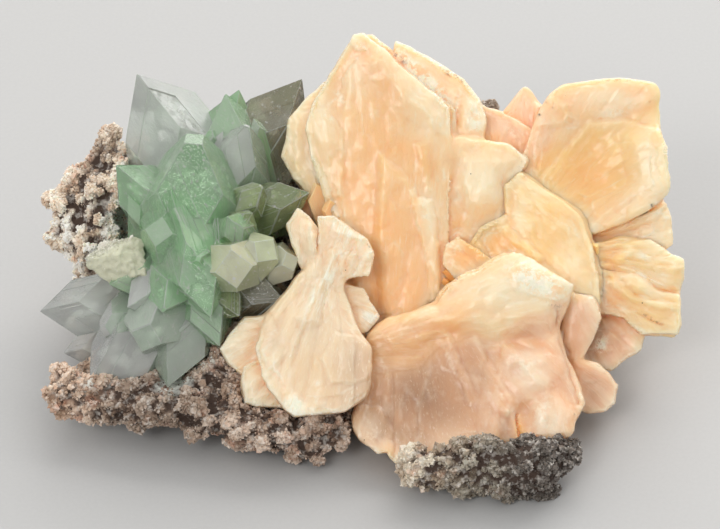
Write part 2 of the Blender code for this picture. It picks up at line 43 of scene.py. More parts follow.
import bmesh
import bpy
import numpy as np
from bpy.props import FloatProperty, FloatVectorProperty, IntProperty, PointerProperty
from mathutils import Matrix, Vector, bvhtree, kdtree, noise

bl_info = {
    "name": "Stilbite Specimen",
    "version": (1, 0, 0),
    "blender": (4, 5, 0),
    "location": "View3D > Sidebar > Specimen",
    "description": "Builds stilbite sheaves and green apophyllite on a crumbly matrix",
    "category": "Object",
}

# Places on the display face are in millimetres: across, up along the face and out towards the viewer
MM = 0.001
FACE_LEAN = math.radians(38)
FACE_CENTRE_HEIGHT = 19.6
VIEW_DISTANCE = 700.0
PHOTO_WIDTH = 129.6
SENSOR_WIDTH = 36.0
WELD = 0.004 * MM
SEED = 11

# The stage: the lamps' colour, the place that they aim at and the floor's reach, in metres
LAMP_COLOUR = (1.0, 0.98, 0.95)
LIT_PLACE = (0, 0, 0.02)
FLOOR_REACH = 3.0

# The fibres of each sheaf: where they start, the spots they run through, their colour and how far
# the surface follows them
Fan = namedtuple("Fan", "waist spots colour relief")
FANS = {
    "stilbite_middle_sheaf": [
        Fan((5, -34), [(3, 14), (8, 2), (0, 30), (12, -5), (4, -8)], "peach", 0.6),
        Fan((8, -22), [(17, 31), (21, 26), (12, 37)], "cream", 0.4),
        Fan((12, -18), [(23, 14), (20, 9), (27, 18)], "cream", 0.3),
        Fan((2, -12), [(-11, 22), (-12, 17)], "cream", 0.5),
        Fan((4, 12), [(21, 1), (24, 0)], "peach", 0.5),
    ],
    "stilbite_crossing_blade": [Fan((6, 31), [(33, 3)], "amber", 0.6)],
    "stilbite_right_sheaf": [
        Fan((27, 4), [(44, 20), (38, 15), (51, 22)], "amber", 0.35),
        Fan((29, 8), [(45, 30), (36, 28)], "cream", 0.3),
        Fan((29, 4), [(30, 28)], "pink", 0.5),
        Fan((24, -6), [(25, 22)], "pink", 0.4),
        Fan((34, 0), [(51, 6), (46, 4)], "cream", 0.5),
    ],
    "stilbite_edge_spray": [
        Fan((36, 3), [(52, 0)], "amber", 0.8),
        Fan((36, 2), [(51, -9)], "amber", 0.7),
        Fan((36, -2), [(45, -13)], "pink", 0.6),
    ],
    "stilbite_lower_sheaf": [
        Fan((-8, -17), [(24, -7), (34, -4)], "cream", 0.6),
        Fan((-8, -17), [(14, -9), (8, -12)], "peach", 0.6),
        Fan((3, 6), [(26, -21), (32, -16)], "pink", 0.8),
        Fan((6, 6), [(10, -26), (18, -20)], "pink", 1.0),
        Fan((33, 10), [(39, -11)], "pink", 0.5),
        Fan((32, -14), [(42, -22)], "pink", 0.5),
    ],
    "stilbite_bow_tie": [
        Fan((-1, 14), [(-8, -10), (-8, -18), (-2, -18)], "ivory", 2.2),
        Fan((-11, -18), [(-2, 3)], "ivory", 2.0),
        Fan((-7, -16), [(-10, 5)], "ivory", 0.6),
        Fan((-6, -8), [(-20, -16)], "ivory", 0.5),
        Fan((-8, -4), [(1, -9)], "ivory", 0.7),
    ],
}
FREE_SHEAF = "stilbite_bow_tie"
FAN_BLEND = 1.5
FAN_RADIUS = 20.0
LEAST_SHARE = 0.01
FAN_OFFSET = 7.3

# Growth layers raised on a sheaf, or hollows where the height is negative: outline, height and the
# width over which the surface rises to it
LAYERS = {
    "stilbite_middle_sheaf": [
        ([(3.2, 20.6), (7, 17.6), (10, 14.8), (10.4, 12.2), (13, 12), (13.6, 9), (14.6, 3), (15.2, -6),
          (12, -14), (4, -14), (2.4, 4)], 0.8, 1.2),
        ([(8.6, 13.4), (10.2, 14.4), (10.3, 12.1), (13, 12), (13.9, 7), (14.6, 0), (14.8, -8), (12.6, -8),
          (11.4, 2)], 0.4, 0.3),
        ([(-12, 28), (-6.4, 28.4), (-2.8, 24.2), (-2.6, 20), (-3, 12), (-12, 12)], 0.35, 0.4),
        ([(-8.8, 20), (-7.6, 19), (-4.6, 9.6), (-6.4, 8.4)], 0.6, 0.4),
        ([(-7.2, 17), (-6.4, 16), (-3.4, 8.6), (-4.6, 8.0)], 0.5, 0.3),
        ([(-2.4, 41), (0.2, 40.4), (1.4, 38.4), (-0.4, 38.2), (-2.6, 39.8)], 0.35, 0.3),
        ([(2, 42), (10, 34.2), (13.4, 31.2), (16.2, 27.6), (16.4, 22), (6, 27), (0, 36)], 0.9, 3.2),
        ([(9.6, 22), (12.4, 22.6), (13.4, 13), (11.8, 12.6)], 0.35, 0.8),
        ([(17.4, 24), (18.6, 31), (22.4, 29.5), (22.8, 22), (20, 21)], 0.5, 1.2),
        ([(16.8, 14), (18.4, 20.4), (24, 21), (28, 19), (25.6, 15.6), (26, 10), (22, 8.4),
          (18, 9.6)], 0.8, 2.2),
    ],
    "stilbite_crossing_blade": [
        ([(26, 10), (34, 9.4), (39.4, 7.6), (41, 2), (42, -6), (36, -8), (28, -4), (22, 2)], 0.6, 1.8),
        ([(24, 6.6), (26.6, 7.4), (33.4, 1.0), (32, -0.4)], 0.4, 0.5),
    ],
    "stilbite_right_sheaf": [
        ([(32, 15.4), (36.4, 20.6), (41.2, 26.2), (48, 26.4), (54, 24), (58, 16), (54, 8), (44, 5),
          (36, 6)], 0.55, 0.6),
        ([(46.4, 24), (49, 24.6), (58, 26), (58, 8), (49, 7.4), (46.8, 9.6), (48, 16)], 0.9, 3.0),
        ([(31, 24), (36, 24.6), (39, 26), (37, 29), (34.6, 31), (31, 29)], 0.5, 1.0),
        ([(48.4, 9), (53, 11), (58, 9), (58, 2), (50.4, 1.4)], 0.5, 1.6),
    ],
    "stilbite_edge_spray": [
        ([(43.6, -0.4), (45.4, -1.0), (49.8, -5.4), (58, -5), (59, 3), (50, 6)], 0.8, 1.2),
        ([(44, -3.4), (49.4, -7), (58, -9.4), (58, -7.2), (50, -5.4), (45, -1.6)], 0.5, 0.7),
        ([(49.8, -8.6), (54.6, -11.0), (54.2, -11.4), (49.8, -9.1)], -0.35, 0.15),
        ([(42.4, -12.4), (45.4, -11.6), (45.2, -15.6), (43, -17.2), (41.4, -15)], 0.5, 1.0),
    ],
    "stilbite_lower_sheaf": [
        ([(8, -6), (18, -4.4), (27, 2), (40, -2), (37.4, -7), (34.4, -12), (26, -14), (18, -12.4),
          (6, -12)], 0.9, 2.4),
        ([(26.4, -0.6), (31, 0.6), (38.8, -3.2), (37.2, -7.4), (32.6, -6.2), (27.8, -5.2)], 0.3, 0.4),
        ([(0, -9), (14, -8), (15.4, -12), (8, -16.4), (0, -18)], 0.4, 1.6),
        ([(14.6, -12), (16.4, -12), (21.4, -25), (19.6, -25.6)], 0.3, 0.5),
        ([(25.9, -13.4), (27.6, -14.6), (29.8, -17.6), (26.8, -19.2), (25.4, -16.4)], 0.35, 0.6),
        ([(-3, -24), (4, -25.4), (6.4, -30), (6, -37), (-3, -36)], 0.55, 0.7),
        ([(34.9, -8), (36, -8), (37.6, -14), (40.4, -25), (39, -25.6), (36, -15)], -0.5, 0.5),
        ([(28.3, -26.4), (28.9, -26.4), (29.5, -32.4), (28.7, -32.4)], -0.9, 0.25),
        ([(25, -26), (28, -27), (28.2, -32), (24.6, -32)], -0.4, 1.2),
    ],
    "stilbite_bow_tie": [
        ([(-4.6, 3), (-3.6, 1), (-5.4, -5), (-7, -11), (-10.6, -12), (-12, -9.4), (-8, -3)], 0.8, 1.2),
        ([(-12, -3), (-14, -10), (-18, -20), (-15, -26), (-12, -22), (-10.6, -12)], 0.35, 0.8),
        ([(-4.4, -12), (-0.6, -12.6), (2.6, -15), (2.6, -20.6), (-0.4, -21.6), (-5.4, -21.8),
          (-7.4, -17)], 0.45, 0.6),
        ([(-8, 9.4), (-4.4, 8.8), (1.6, 5), (0.6, 4), (-4.6, 5.4)], 0.4, 0.8),
        ([(-12.4, 6), (-10.6, 9), (-8.2, 7.8), (-6.6, 4), (-7.6, 0.6), (-10.2, 1.6)], 0.5, 1.2),
        ([(-14, -22), (-12.2, -22), (-9.4, -25), (-9.6, -28), (-14, -27.6)], 0.4, 0.8),
        ([(-24.8, -15), (-20.8, -11), (-18.8, -13.6), (-20, -18.6)], 0.4, 1.4),
        ([(-20.4, -19.6), (-16.4, -18.6), (-15.4, -24), (-20, -24.6)], 0.4, 0.8),
    ],
}

# How finely a sheaf is cut, which of its edges count as sharp, as rims or as creases, and how the layers end,
# with white painted along their ends, partly as a highlight
REMESH_SCALE = 0.95
EDGE_ANGLE = math.radians(32)
CONVEX_ANGLE = math.radians(30)
CONCAVE_ANGLE = math.radians(-22)
LAYER_RAGGED = 0.28
LEDGE_INSET = 0.2
LEDGE_WIDTH = 0.35

# Thin layers that end a little inside a blade's edge: how far in, and how far each steps down
TERRACES = [(0.5, 0.14), (1.3, 0.16), (2.6, 0.20)]
TERRACE_RISER = 0.14
TERRACE_EDGE = 0.1
TERRACE_EDGE_WIDTH = 0.22

# Waves of a surface: how fast each changes from place to place, and its height
TERRACE_WAVES = [(0.35, 0.9), (1.3, 0.22)]
SWELL_WAVES = [(0.13, 0.45), (0.37, 0.16)]
DENT_WAVES = [(0.9, 0.05)]
CRUMB_WAVES = [(0.8, 0.1)]
CRUST_WAVES = [(0.9, 0.45), (2.4, 0.18)]

# Patches on the display face: middle across and up, half width, half height, turn in degrees and strength
# Frosted spots, painted white: partly the blades' own white frosting and partly painted highlights where a
# facet would glint
FROSTED_AND_GLINTING = [
    (11.6, 33.8, 6.4, 1, -43, 2.2), (7.6, 38, 2.4, 0.6, -30, 0.9), (14.6, 30.4, 1.8, 1.1, -43, 2.2),
    (17.6, 28.6, 0.4, 3, -10, 0.8), (0.2, 39.2, 1.7, 0.6, -30, 0.9), (-3.6, 30, 2.2, 0.6, -50, 0.6),
    (-5.2, 26.4, 2.8, 0.7, -42, 0.6), (20.6, 26, 1.4, 4.4, 0, 1), (-7.4, 13.4, 0.4, 5, 22, 0.5),
    (-5.2, 11.8, 0.3, 3.6, 22, 0.6), (11.6, 9.4, 0.9, 3.4, 12, 0.6), (17.4, 2.8, 1.6, 0.9, -30, 0.7),
    (32, -3.4, 5.4, 2.4, -22, 1.6), (43.2, -14.4, 0.9, 1.5, -20, 1.8), (45.8, 27.4, 3.4, 1.1, 18, 0.6),
    (50.6, -2.4, 2.8, 1, -35, 0.7), (51, 1.4, 0.9, 1.4, 50, 0.7), (29.6, -18, 3.4, 2.2, -20, 0.5),
    (33.2, -27, 2.2, 3.4, 0, 0.6), (-7, -5.4, 1.9, 6, -24, 1.4), (-4, 6.8, 3.6, 0.9, -30, 2),
    (1.8, -9.2, 1.8, 1.6, 30, 1.4), (-11.8, -25.2, 1.6, 1.8, 20, 1.5), (-7.8, -21.4, 0.9, 0.6, 0, 0.8),
    (-4, -18.4, 1.2, 2.4, 0, 0.7), (-22.6, -16.4, 2.6, 0.5, -50, 0.7), (7, -5.6, 0.6, 1.6, -20, 0.4),
    (27, 24, 2.6, 0.7, -50, 0.5), (-3, 4.6, 3.6, 3, -30, 0.6), (-20.8, -15.4, 3.4, 3.6, 0, 0.5),
    (-10.4, 5.6, 2.4, 4.4, 20, 0.6), (-17.4, -22, 3, 3, 0, 0.4), (2, -31, 2.6, 1, -30, 0.5),
    (39.6, -29, 1, 2.4, 0, 0.5),
]
BAND = [
    (43.5, 29.4, 9.5, 5, 0, 3),
]
SUNK = [
    (44.6, 28, 11, 4, 0, 1), (53, 13, 3, 5, 30, 0.5),
]
GROWN_TOGETHER = [
    (29.6, -19.6, 7.6, 7, 0, 1), (33.6, -27.4, 5, 5, 0, 1), (26.4, -28.6, 3, 4.4, 0, 1),
    (36.6, -14, 2.4, 9, 8, 0.8), (12, -13, 16, 3.6, 10, 1), (20, -16, 6, 5, 0, 1),
    (43.6, 28.6, 9.6, 4, 0, 1), (40, 20, 5, 5, 0, 0.6), (34.6, 12, 4, 6, 0, 0.5), (20, 21, 4, 3, 0, 0.9),
    (-6.6, -2, 3.6, 3.6, 0, 1), (-13.6, -12.6, 3.2, 5, 20, 1), (3, -23.6, 4, 5, 0, 0.9),
    (50.4, -4, 4, 4, 0, 0.5), (46, 8, 5, 4, 0, 0.7),
]
# Painted glow: where deep orange is painted on the blades as if light shone through them
GLOWING = [
    (21.4, 3, 6.4, 3.6, 20, 1), (17.4, 6.4, 2, 5, 0, 0.8), (12.4, 18.4, 3.2, 4.4, 20, 0.6),
    (6, 21, 4.4, 1.6, -10, 0.5), (41, 16, 6.6, 6.6, 0, 0.9), (32.6, 18.6, 1.8, 3, -45, 0.8),
    (23.4, 22.6, 2.6, 1.4, 0, 0.6), (44.6, 1.4, 2.2, 6.4, 0, 0.9), (45.4, -6.4, 2.4, 3.6, 10, 0.8),
    (24.4, 3.4, 3.6, 2.4, 30, 1), (6.4, -8.6, 3.6, 1.6, 0, 0.6), (3, -4.4, 1.8, 2.8, 30, 0.8),
    (30.4, -14.2, 5.4, 1.2, 0, 0.5), (28.9, -29.4, 0.8, 3, 0, 1), (-11.6, -1.2, 1.6, 2.2, -20, 0.3),
    (27.2, 9.4, 1.2, 5.6, 0, 0.7), (3.6, 6, 4, 7, 0, 0.25),
]
PALE = [
    (-1, 35, 4.4, 5, 0, 0.5), (-7.2, 26.6, 2.6, 7, 0, 0.6), (12.6, 7, 1.6, 8, 5, 0.7),
    (13, 33, 7, 3, -40, 0.3), (20, 27, 3.4, 6, 0, 0.7), (23, 15.6, 6, 4.6, 0, 0.8),
    (46, 30.6, 10, 2.6, 0, 0.8), (53, 17, 3.4, 10, 0, 0.9), (38.6, -1.4, 3.4, 6.6, 10, 0.7),
    (54, 4.6, 4, 4.6, 0, 0.9), (53.4, -4, 3.6, 4.6, 0, 0.8), (28.6, -5, 8.6, 3.6, -10, 0.8),
    (31, -19.6, 4.6, 5.4, 0, 0.8), (34.6, -27.6, 4, 4.6, 0, 0.8), (0.4, -30, 4, 4, 0, 0.6),
    (42, -9.6, 3, 4.6, 0, 0.5), (8, -11, 5, 1.6, 10, 0.4), (30, 28.6, 3, 4.6, 0, 0.7),
    (25, 23.6, 3.6, 4, 0, 0.6),
]
# Tan patches on the lower blades: partly their own tan and partly painted shade where they face down, away
# from the light, and lie in the matrix's shadow
BROWNED_AND_SHADED = [
    (11, -24, 10, 8, 0, 1), (3, -20, 6, 7, 0, 0.7), (2, -28, 6, 6, 0, 1.3), (7, -30.4, 8, 4.4, 0, 0.9),
    (21, -20, 4, 5, 20, 0.6), (26.6, -30, 2, 3, 0, 0.5), (43.4, -10.6, 1.6, 5, -20, 0.8),
    (42.6, -22.4, 3, 3.6, 0, 0.45), (36.6, -14, 0.8, 8, 12, 0.5),
]
# Darker brown marks painted along some edges and a crack, and in a few small spots
DARK_MARKED = [
    (6, 37.9, 3.4, 0.4, -34, 0.8), (17.2, 34, 3.6, 0.4, -27, 0.8), (-2.4, 40.8, 0.5, 0.5, 0, 1),
    (20.6, 31.6, 1.8, 0.3, -50, 0.6), (44, 33, 9, 0.2, 0, 0.5), (52.4, -9.9, 2.4, 0.3, -30, 0.7),
    (29.2, 17.4, 0.6, 2, 20, 0.4), (17.9, -2.6, 0.7, 0.5, 0, 0.9), (35, -7.4, 1.6, 0.5, -20, 0.5),
    (54, 25, 0.3, 3, 0, 0.4),
]

# Small stilbite blades in the gaps between the large ones
Blade = namedtuple("Blade", "tip axis half thickness length roll tint")
SMALL_BLADES = [Blade(*row) for row in (
    # The first three blades are painted in the colour of the painted glow between the blades
    ((17.4, -1.5, 7.6), (0.55, 0.25, 0.79), 1.5, 1.3, 10, 20, "hollow"),
    ((15.5, -2.9, 6.8), (0.1, 0.3, 0.95), 1.4, 1.2, 9, 80, "hollow"),
    ((18.2, -3.4, 6), (0.3, -0.1, 0.95), 1.8, 1.4, 9, 0, "hollow"),
    ((-8, 14.6, 4.6), (-0.3, 0.88, 0.36), 2.4, 1.6, 15, 10, "cream"),
    ((-5.6, 11.6, 6.2), (-0.2, 0.86, 0.46), 1.6, 1.2, 12, 30, "peach"),
    ((-10.8, 12.4, 2.6), (-0.45, 0.8, 0.4), 2, 1.4, 13, -10, "pink"),
    ((27.6, 17.2, 3.6), (0.35, 0.75, 0.56), 1.4, 0.9, 9, 15, "amber"),
    ((25.2, 21.8, 1.8), (0.3, 0.8, 0.52), 1.3, 0.9, 8, -20, "pink"),
    ((42.8, 3.4, 5.4), (0.6, 0.45, 0.66), 1.3, 0.8, 8, 10, "amber"),
)]

# The green cluster, as the CAD has it: each crystal by its tip, the way it points, half its width,
# its length, its turn about its own axis, how far its tip is cut off flat, and its tint
Crystal = namedtuple("Crystal", "tip axis half length roll blunt tint")
APOPHYLLITES = [Crystal(*row) for row in (
    ((-40.3, 34.5, 2), (-0.4, 0.77, 0.5), 8, 30, 19, 0, "clear"),
    ((-44.1, 18.1, 5), (-0.61, 0.61, 0.5), 4.8, 24, 10, 0.4, "green"),
    ((-29.9, 25.2, 13.2), (0.03, 0.82, 0.57), 8.4, 31, 42, 3, "green"),
    ((-37.6, 6.6, 17.5), (-0.34, 0.2, 0.92), 5, 26, 20, 3.4, "green"),
    ((-26.8, -9.8, 17.5), (0.27, -0.82, 0.5), 5, 24, 45, 0.4, "green"),
    ((-22.6, -1.4, 22.9), (0.06, -0.12, 0.99), 4.2, 26, 9, 4.4, "milky"),
    ((-15.9, 3.2, 19.6), (0.35, 0.2, 0.91), 3.3, 24, 25, 3.4, "milky"),
    ((-11.4, 0.8, 15.7), (0.5, 0.1, 0.86), 3.2, 20, 10, 2.4, "milky"),
    ((-57.9, -8.4, 1.5), (-0.97, -0.08, 0.23), 5.2, 27, 12, 0, "clear"),
    ((-53.6, -16, 4.5), (-0.9, -0.2, 0.38), 2.4, 18, 0, 0, "clear"),
    ((-48.9, -21.9, 13), (-0.62, -0.55, 0.56), 6.6, 28, 35, 0, "pale"),
    ((-34.6, -22.3, 14), (-0.2, -0.82, 0.53), 5.4, 27, 22, 0, "pale"),
    ((-39.6, -14.8, 19.4), (-0.25, -0.42, 0.87), 5.2, 24, 12, 3.6, "pale"),
    ((-24.3, 31.1, -0.5), (-0.15, 0.93, 0.33), 5.2, 28, 30, 0.5, "green"),
    ((-21.7, 31.6, -3), (0.25, 0.9, 0.35), 5.2, 28, 10, 0, "green"),
    ((-20.2, 25.6, 6), (0.22, 0.74, 0.63), 5, 26, 45, 0.8, "pale"),
    ((-10.4, 33.5, -6), (0.52, 0.83, 0.15), 6.4, 34, 20, 0, "smoky"),
    ((-24, 8.8, 17.6), (-0.25, 0.45, 0.86), 2.5, 18, 35, 0.4, "green"),
    ((-9, 13, 6), (0.8, 0.3, 0.5), 3.8, 24, 15, 0.3, "olive"),
    ((-17.5, 14.4, 11), (0.45, 0.5, 0.75), 2.6, 20, 40, 0.6, "olive"),
    ((-19.2, 9.4, 15), (0.45, 0.45, 0.77), 2.4, 18, 20, 0.3, "olive"),
    ((-13.2, -6.8, 13.2), (0.75, -0.2, 0.62), 3.9, 22, 30, 0.6, "smoky"),
    ((-21.6, -9.4, 14.8), (0.45, -0.5, 0.74), 2.8, 18, 20, 0.4, "olive"),
    ((-45.4, -3.6, 11.5), (-0.75, -0.16, 0.64), 4.4, 22, 25, 0.3, "green"),
    ((-42, -7.9, 14.8), (-0.55, -0.35, 0.76), 3.8, 20, 0, 0.4, "pale"),
    ((-35.6, -8.6, 18), (-0.15, -0.5, 0.85), 3.8, 20, 15, 0.8, "green"),
    ((-25.2, -14.9, 14.5), (0.35, -0.75, 0.56), 4.4, 22, 40, 0.3, "green"),
    ((-29, 1, 19.4), (0.05, -0.05, 1), 2.2, 18, 30, 0.8, "green"),
    ((-34, 27, -16), (-0.35, 0.7, -0.62), 5, 24, 15, 0.4, "green"),
    ((-18, 27, -17), (0.25, 0.72, -0.64), 4.2, 24, 35, 0.8, "green"),
)]

# Faces of the crystals that are etched and glitter: every face whose middle lies in one of these patches
ETCHED = [
    (-34.4, 28.6, 3.4, 4.6, 50, 1), (-30.6, 13.8, 3.4, 2.6, 0, 0.8), (-26.4, 12.4, 2.4, 3.4, 0, 0.6),
    (-46, -19.6, 5.4, 2, 0, 0.5), (-31.6, -18.6, 3, 2.6, 0, 0.6), (-16, 22.6, 2.4, 3.4, 0, 0.6),
    (-52, -6, 2.4, 2.4, 0, 0.5),
]

# The half-width from which a crystal carries companions, how they lean and their size beside their host
COMPANION_HOST = 4.4
COMPANION_LEAN = 0.22
COMPANION_SIZE = (0.22, 0.5)
COMPANION_LENGTH = 2.5

# The crystals' ends, growth steps and worn edges, the painted highlight on their narrow edges, and the
# painted light and shade of their sides, lighter where they face the light
PYRAMID_SLOPE = math.radians(60)
PYRAMID_SETBACK = 0.35
NEARLY_HEAD_ON = 0.96
STEP_HEIGHT = (0.04, 0.12)
EDGE_WIDTH = 0.07
BLADE_EDGE_WIDTH = 0.12
EDGE_HIGHLIGHT = (0.95, 1.0, 0.95)
EDGE_HIGHLIGHT_SHARE = 0.75
FACE_SHADES = (0.76, 1.12)
FACE_LIGHT = (-0.25, -0.60, 0.75)
FACE_LIT = 0.3
LEAST_ETCHED = 0.4

# The flaws inside the crystals: reach and size are shares of a crystal's half-width
VEILS_PER_MM3 = 0.016
VEILS_REACH = 2.5
VEIL_SIZE = (0.12, 0.4)
VEIL_THICKNESS = 0.03

# The crust on the coated crystal
CRUST_DETAIL = 0.3
CRUST_GRAINS = 2600
CRUST_GRAIN_SIZE = 0.16
CRUST_LIFT = 0.3

# How far from an edge or a crease a blade is pale or waved or carries the painted glow of its hollows, and
# how its outline wanders
RIM_REACH = 0.6
MARGIN_REACH = 3.2
HOLLOW_GLOW_REACH = 1.6
EDGE_SAMPLE = 0.35
OUTLINE_WANDER = [(0.2, 0.5), (0.5, 0.2)]

# Rounds of softening where blades have grown together, where they are sunk and, by a small share, all over
GROWN_ROUNDS = 90
SUNK_ROUNDS = 300
WORN_SHARE = 0.3
WORN_ROUNDS = 2

# The band along the top of the right sheaf: how far it is laid down, and to which level
BAND_LAID = 0.85
BAND_FOOT = 26.0
BAND_LEVEL = 0.5
BAND_RISE = 0.19

# The plates along the fibres: how many each fan has, their half-width, half-length and height
LATHS = 90
LATH_HALF = (0.4, 1.9)
LATH_REACH = (1.5, 6.5)
LATH_RISE = (-0.6, 1.0)

# Growth steps across a fan, how far they follow its relief at most, and where all of it fades at its waist
STAIRS_PER_MM = 0.22
MOST_STEPPED = 1.0
WAIST_FADE = 12.0

# How squarely a blade's front and its sides face the viewer, and what is added on them and in corners
FRONT_FACING = 0.35
SIDE_FACING = 0.75
FACING_BLEND = 0.3
GROWN_SWELL = 0.35
SIDE_LAYERS = 0.2
CONTACT_FILL = 0.22
CORNER_REACH = 2.2
CORNER_FILL = 0.7

# The clumps and knobs of the rock, the rounds that judge its painted shade, how far it is painted pale round
# the green crystals (partly pale bed, partly painted light) and its druse's pieces
DRUSE_PIECES = 5
CLUMP_SIZE = (0.5, 1.6)
CLUMP_GAP = 0.4
KNOB_SIZE = 1.7
EVEN_ROUNDS = 24
BED_REACH = 1.5

# The druse's colour round some spots of the matrix: across, up and colour. The dark zones low on the matrix
# are partly painted shade
ZONES = [
    (-58, 2, (0.88, 0.8, 0.69)), (-52, 6, (0.84, 0.74, 0.63)), (-56, 10, (0.76, 0.65, 0.54)),
    (-50, 18, (0.62, 0.52, 0.43)), (-56, -24, (0.52, 0.38, 0.29)), (-40, -28, (0.28, 0.21, 0.165)),
    (-16, -32, (0.46, 0.35, 0.28)), (-8, -36, (0.3, 0.21, 0.16)), (10, -37, (0.52, 0.45, 0.36)),
    (20, -40, (0.21, 0.18, 0.14)), (32, -38, (0.05, 0.035, 0.03)), (20, 31, (0.3, 0.23, 0.18)),
]
ZONE_BLEND = 3.0


def colour_setting(name, description, default):
    """A colour of red, green and blue from 0 to 1."""
    return FloatVectorProperty(
        name=name, description=description, subtype="COLOR", default=default, min=0.0, max=1.0,
    )


def length_setting(name, description, default, least, most):
    """A length, given in millimetres."""
    return FloatProperty(
        name=name, description=description, default=default * MM, min=least * MM, max=most * MM,
        precision=5, unit="LENGTH",
    )


def amount_setting(name, description, default, most, unit="NONE"):
    """A number from 0 to the most that is given."""
    return FloatProperty(
        name=name, description=description, default=default, min=0.0, max=most, unit=unit,
    )


class SheafSettings(bpy.types.PropertyGroup):
    """Sizes and colours of the stilbite."""

    detail: length_setting("Detail", "Spacing of the points on a sheaf", 0.40, 0.2, 1.5)
    ridge_height: length_setting("Ridge height", "Height of the ridges along the fibres", 0.16, 0.0, 1)
    ledge_height: length_setting("Ledge height", "Height of the steps between growth layers", 0.28, 0.0, 1)
    lath_height: length_setting("Lath height", "Height of the slender plates along the fibres", 0.3, 0.0, 1)
    peach: colour_setting("Peach", "Colour of the main blades", (0.95, 0.60, 0.31))
    amber: colour_setting("Amber", "Colour of the blades at the right", (0.98, 0.66, 0.30))
    # Tan: partly the low sheaf's own colour and partly painted shade on the lower blades
    tan: colour_setting("Tan", "Colour of the low sheaf's body", (0.40, 0.21, 0.105))
    pink: colour_setting("Pink", "Colour of the small blades at the edges", (0.78, 0.47, 0.29))
    cream: colour_setting("Cream", "Colour of the palest blades", (0.94, 0.69, 0.42))
    ivory: colour_setting("Ivory", "Colour of the bow tie", (0.86, 0.70, 0.50))
    # Painted glow: the deep orange painted near creases, in corners, in glowing patches and on three small
    # blades, as if light shone through the blades
    hollow: colour_setting("Hollow", "Colour deep between the blades", (1.0, 0.50, 0.18))
    rim: colour_setting("Rim", "Colour of the blades' thin edges", (0.98, 0.83, 0.63))
    # The colour of the darker brown marks along some edges and a crack, and in a few small spots
    soil: colour_setting("Soil", "Colour of the dirt on the edges", (0.34, 0.20, 0.12))
    speck: colour_setting("Speck", "Colour of the small dark specks", (0.10, 0.06, 0.035))


class CrystalSettings(bpy.types.PropertyGroup):
    """Sizes and colours of the apophyllite."""

    depth: colour_setting("Depth colour", "Colour of white light behind thick crystal", (0.52, 0.86, 0.46))
    density: amount_setting("Depth of colour", "Absorption for each metre of crystal", 15.0, 1000.0)
    green: colour_setting("Green", "Tint of the green crystals", (0.56, 0.87, 0.54))
    pale: colour_setting("Pale", "Tint of the pale green crystals", (0.84, 0.98, 0.83))
    clear: colour_setting("Clear", "Tint of the nearly colourless crystals", (0.94, 0.95, 0.96))
    olive: colour_setting("Olive", "Tint of the crystals beside the stilbite", (0.52, 0.61, 0.33))
    smoky: colour_setting("Smoky", "Tint of the brownish crystals", (0.36, 0.34, 0.24))
    milky: colour_setting("Milky", "Tint of the cloudy flat-topped crystals", (0.86, 0.93, 0.62))


class MatrixSettings(bpy.types.PropertyGroup):
    """Sizes and colours of the matrix."""

    detail: length_setting("Detail", "Spacing of the points on the rock", 0.6, 0.3, 2)
    clumps: IntProperty(
        name="Clumps", description="Number of rounded clumps tried on the rock", default=1500,
        min=0, max=3000,
    )
    grains: IntProperty(
        name="Grains", description="Number of druse crystals on the rock", default=100000,
        min=0, max=110000,
    )
    grain_size: length_setting("Grain size", "Half-width of a middling druse crystal", 0.24, 0.05, 3)
    lift: length_setting("Lift", "How far the druse may stand off the rock", 0.45, 0.0, 4)


class StageSettings(bpy.types.PropertyGroup):
    """Floor, lights and sky."""

    floor: colour_setting("Floor", "Colour of the floor", (0.465, 0.465, 0.465))
    key_power: amount_setting("Key light", "Power of the large soft light", 20.5, 1000.0, "POWER")
    fill_power: amount_setting("Fill light", "Power of the small light at the left", 4.5, 1000.0, "POWER")
    sky: amount_setting("Sky", "Strength of the light from overhead", 0.92, 10.0)
    horizon: amount_setting("Horizon", "Strength of the light from all round", 0.47, 10.0)


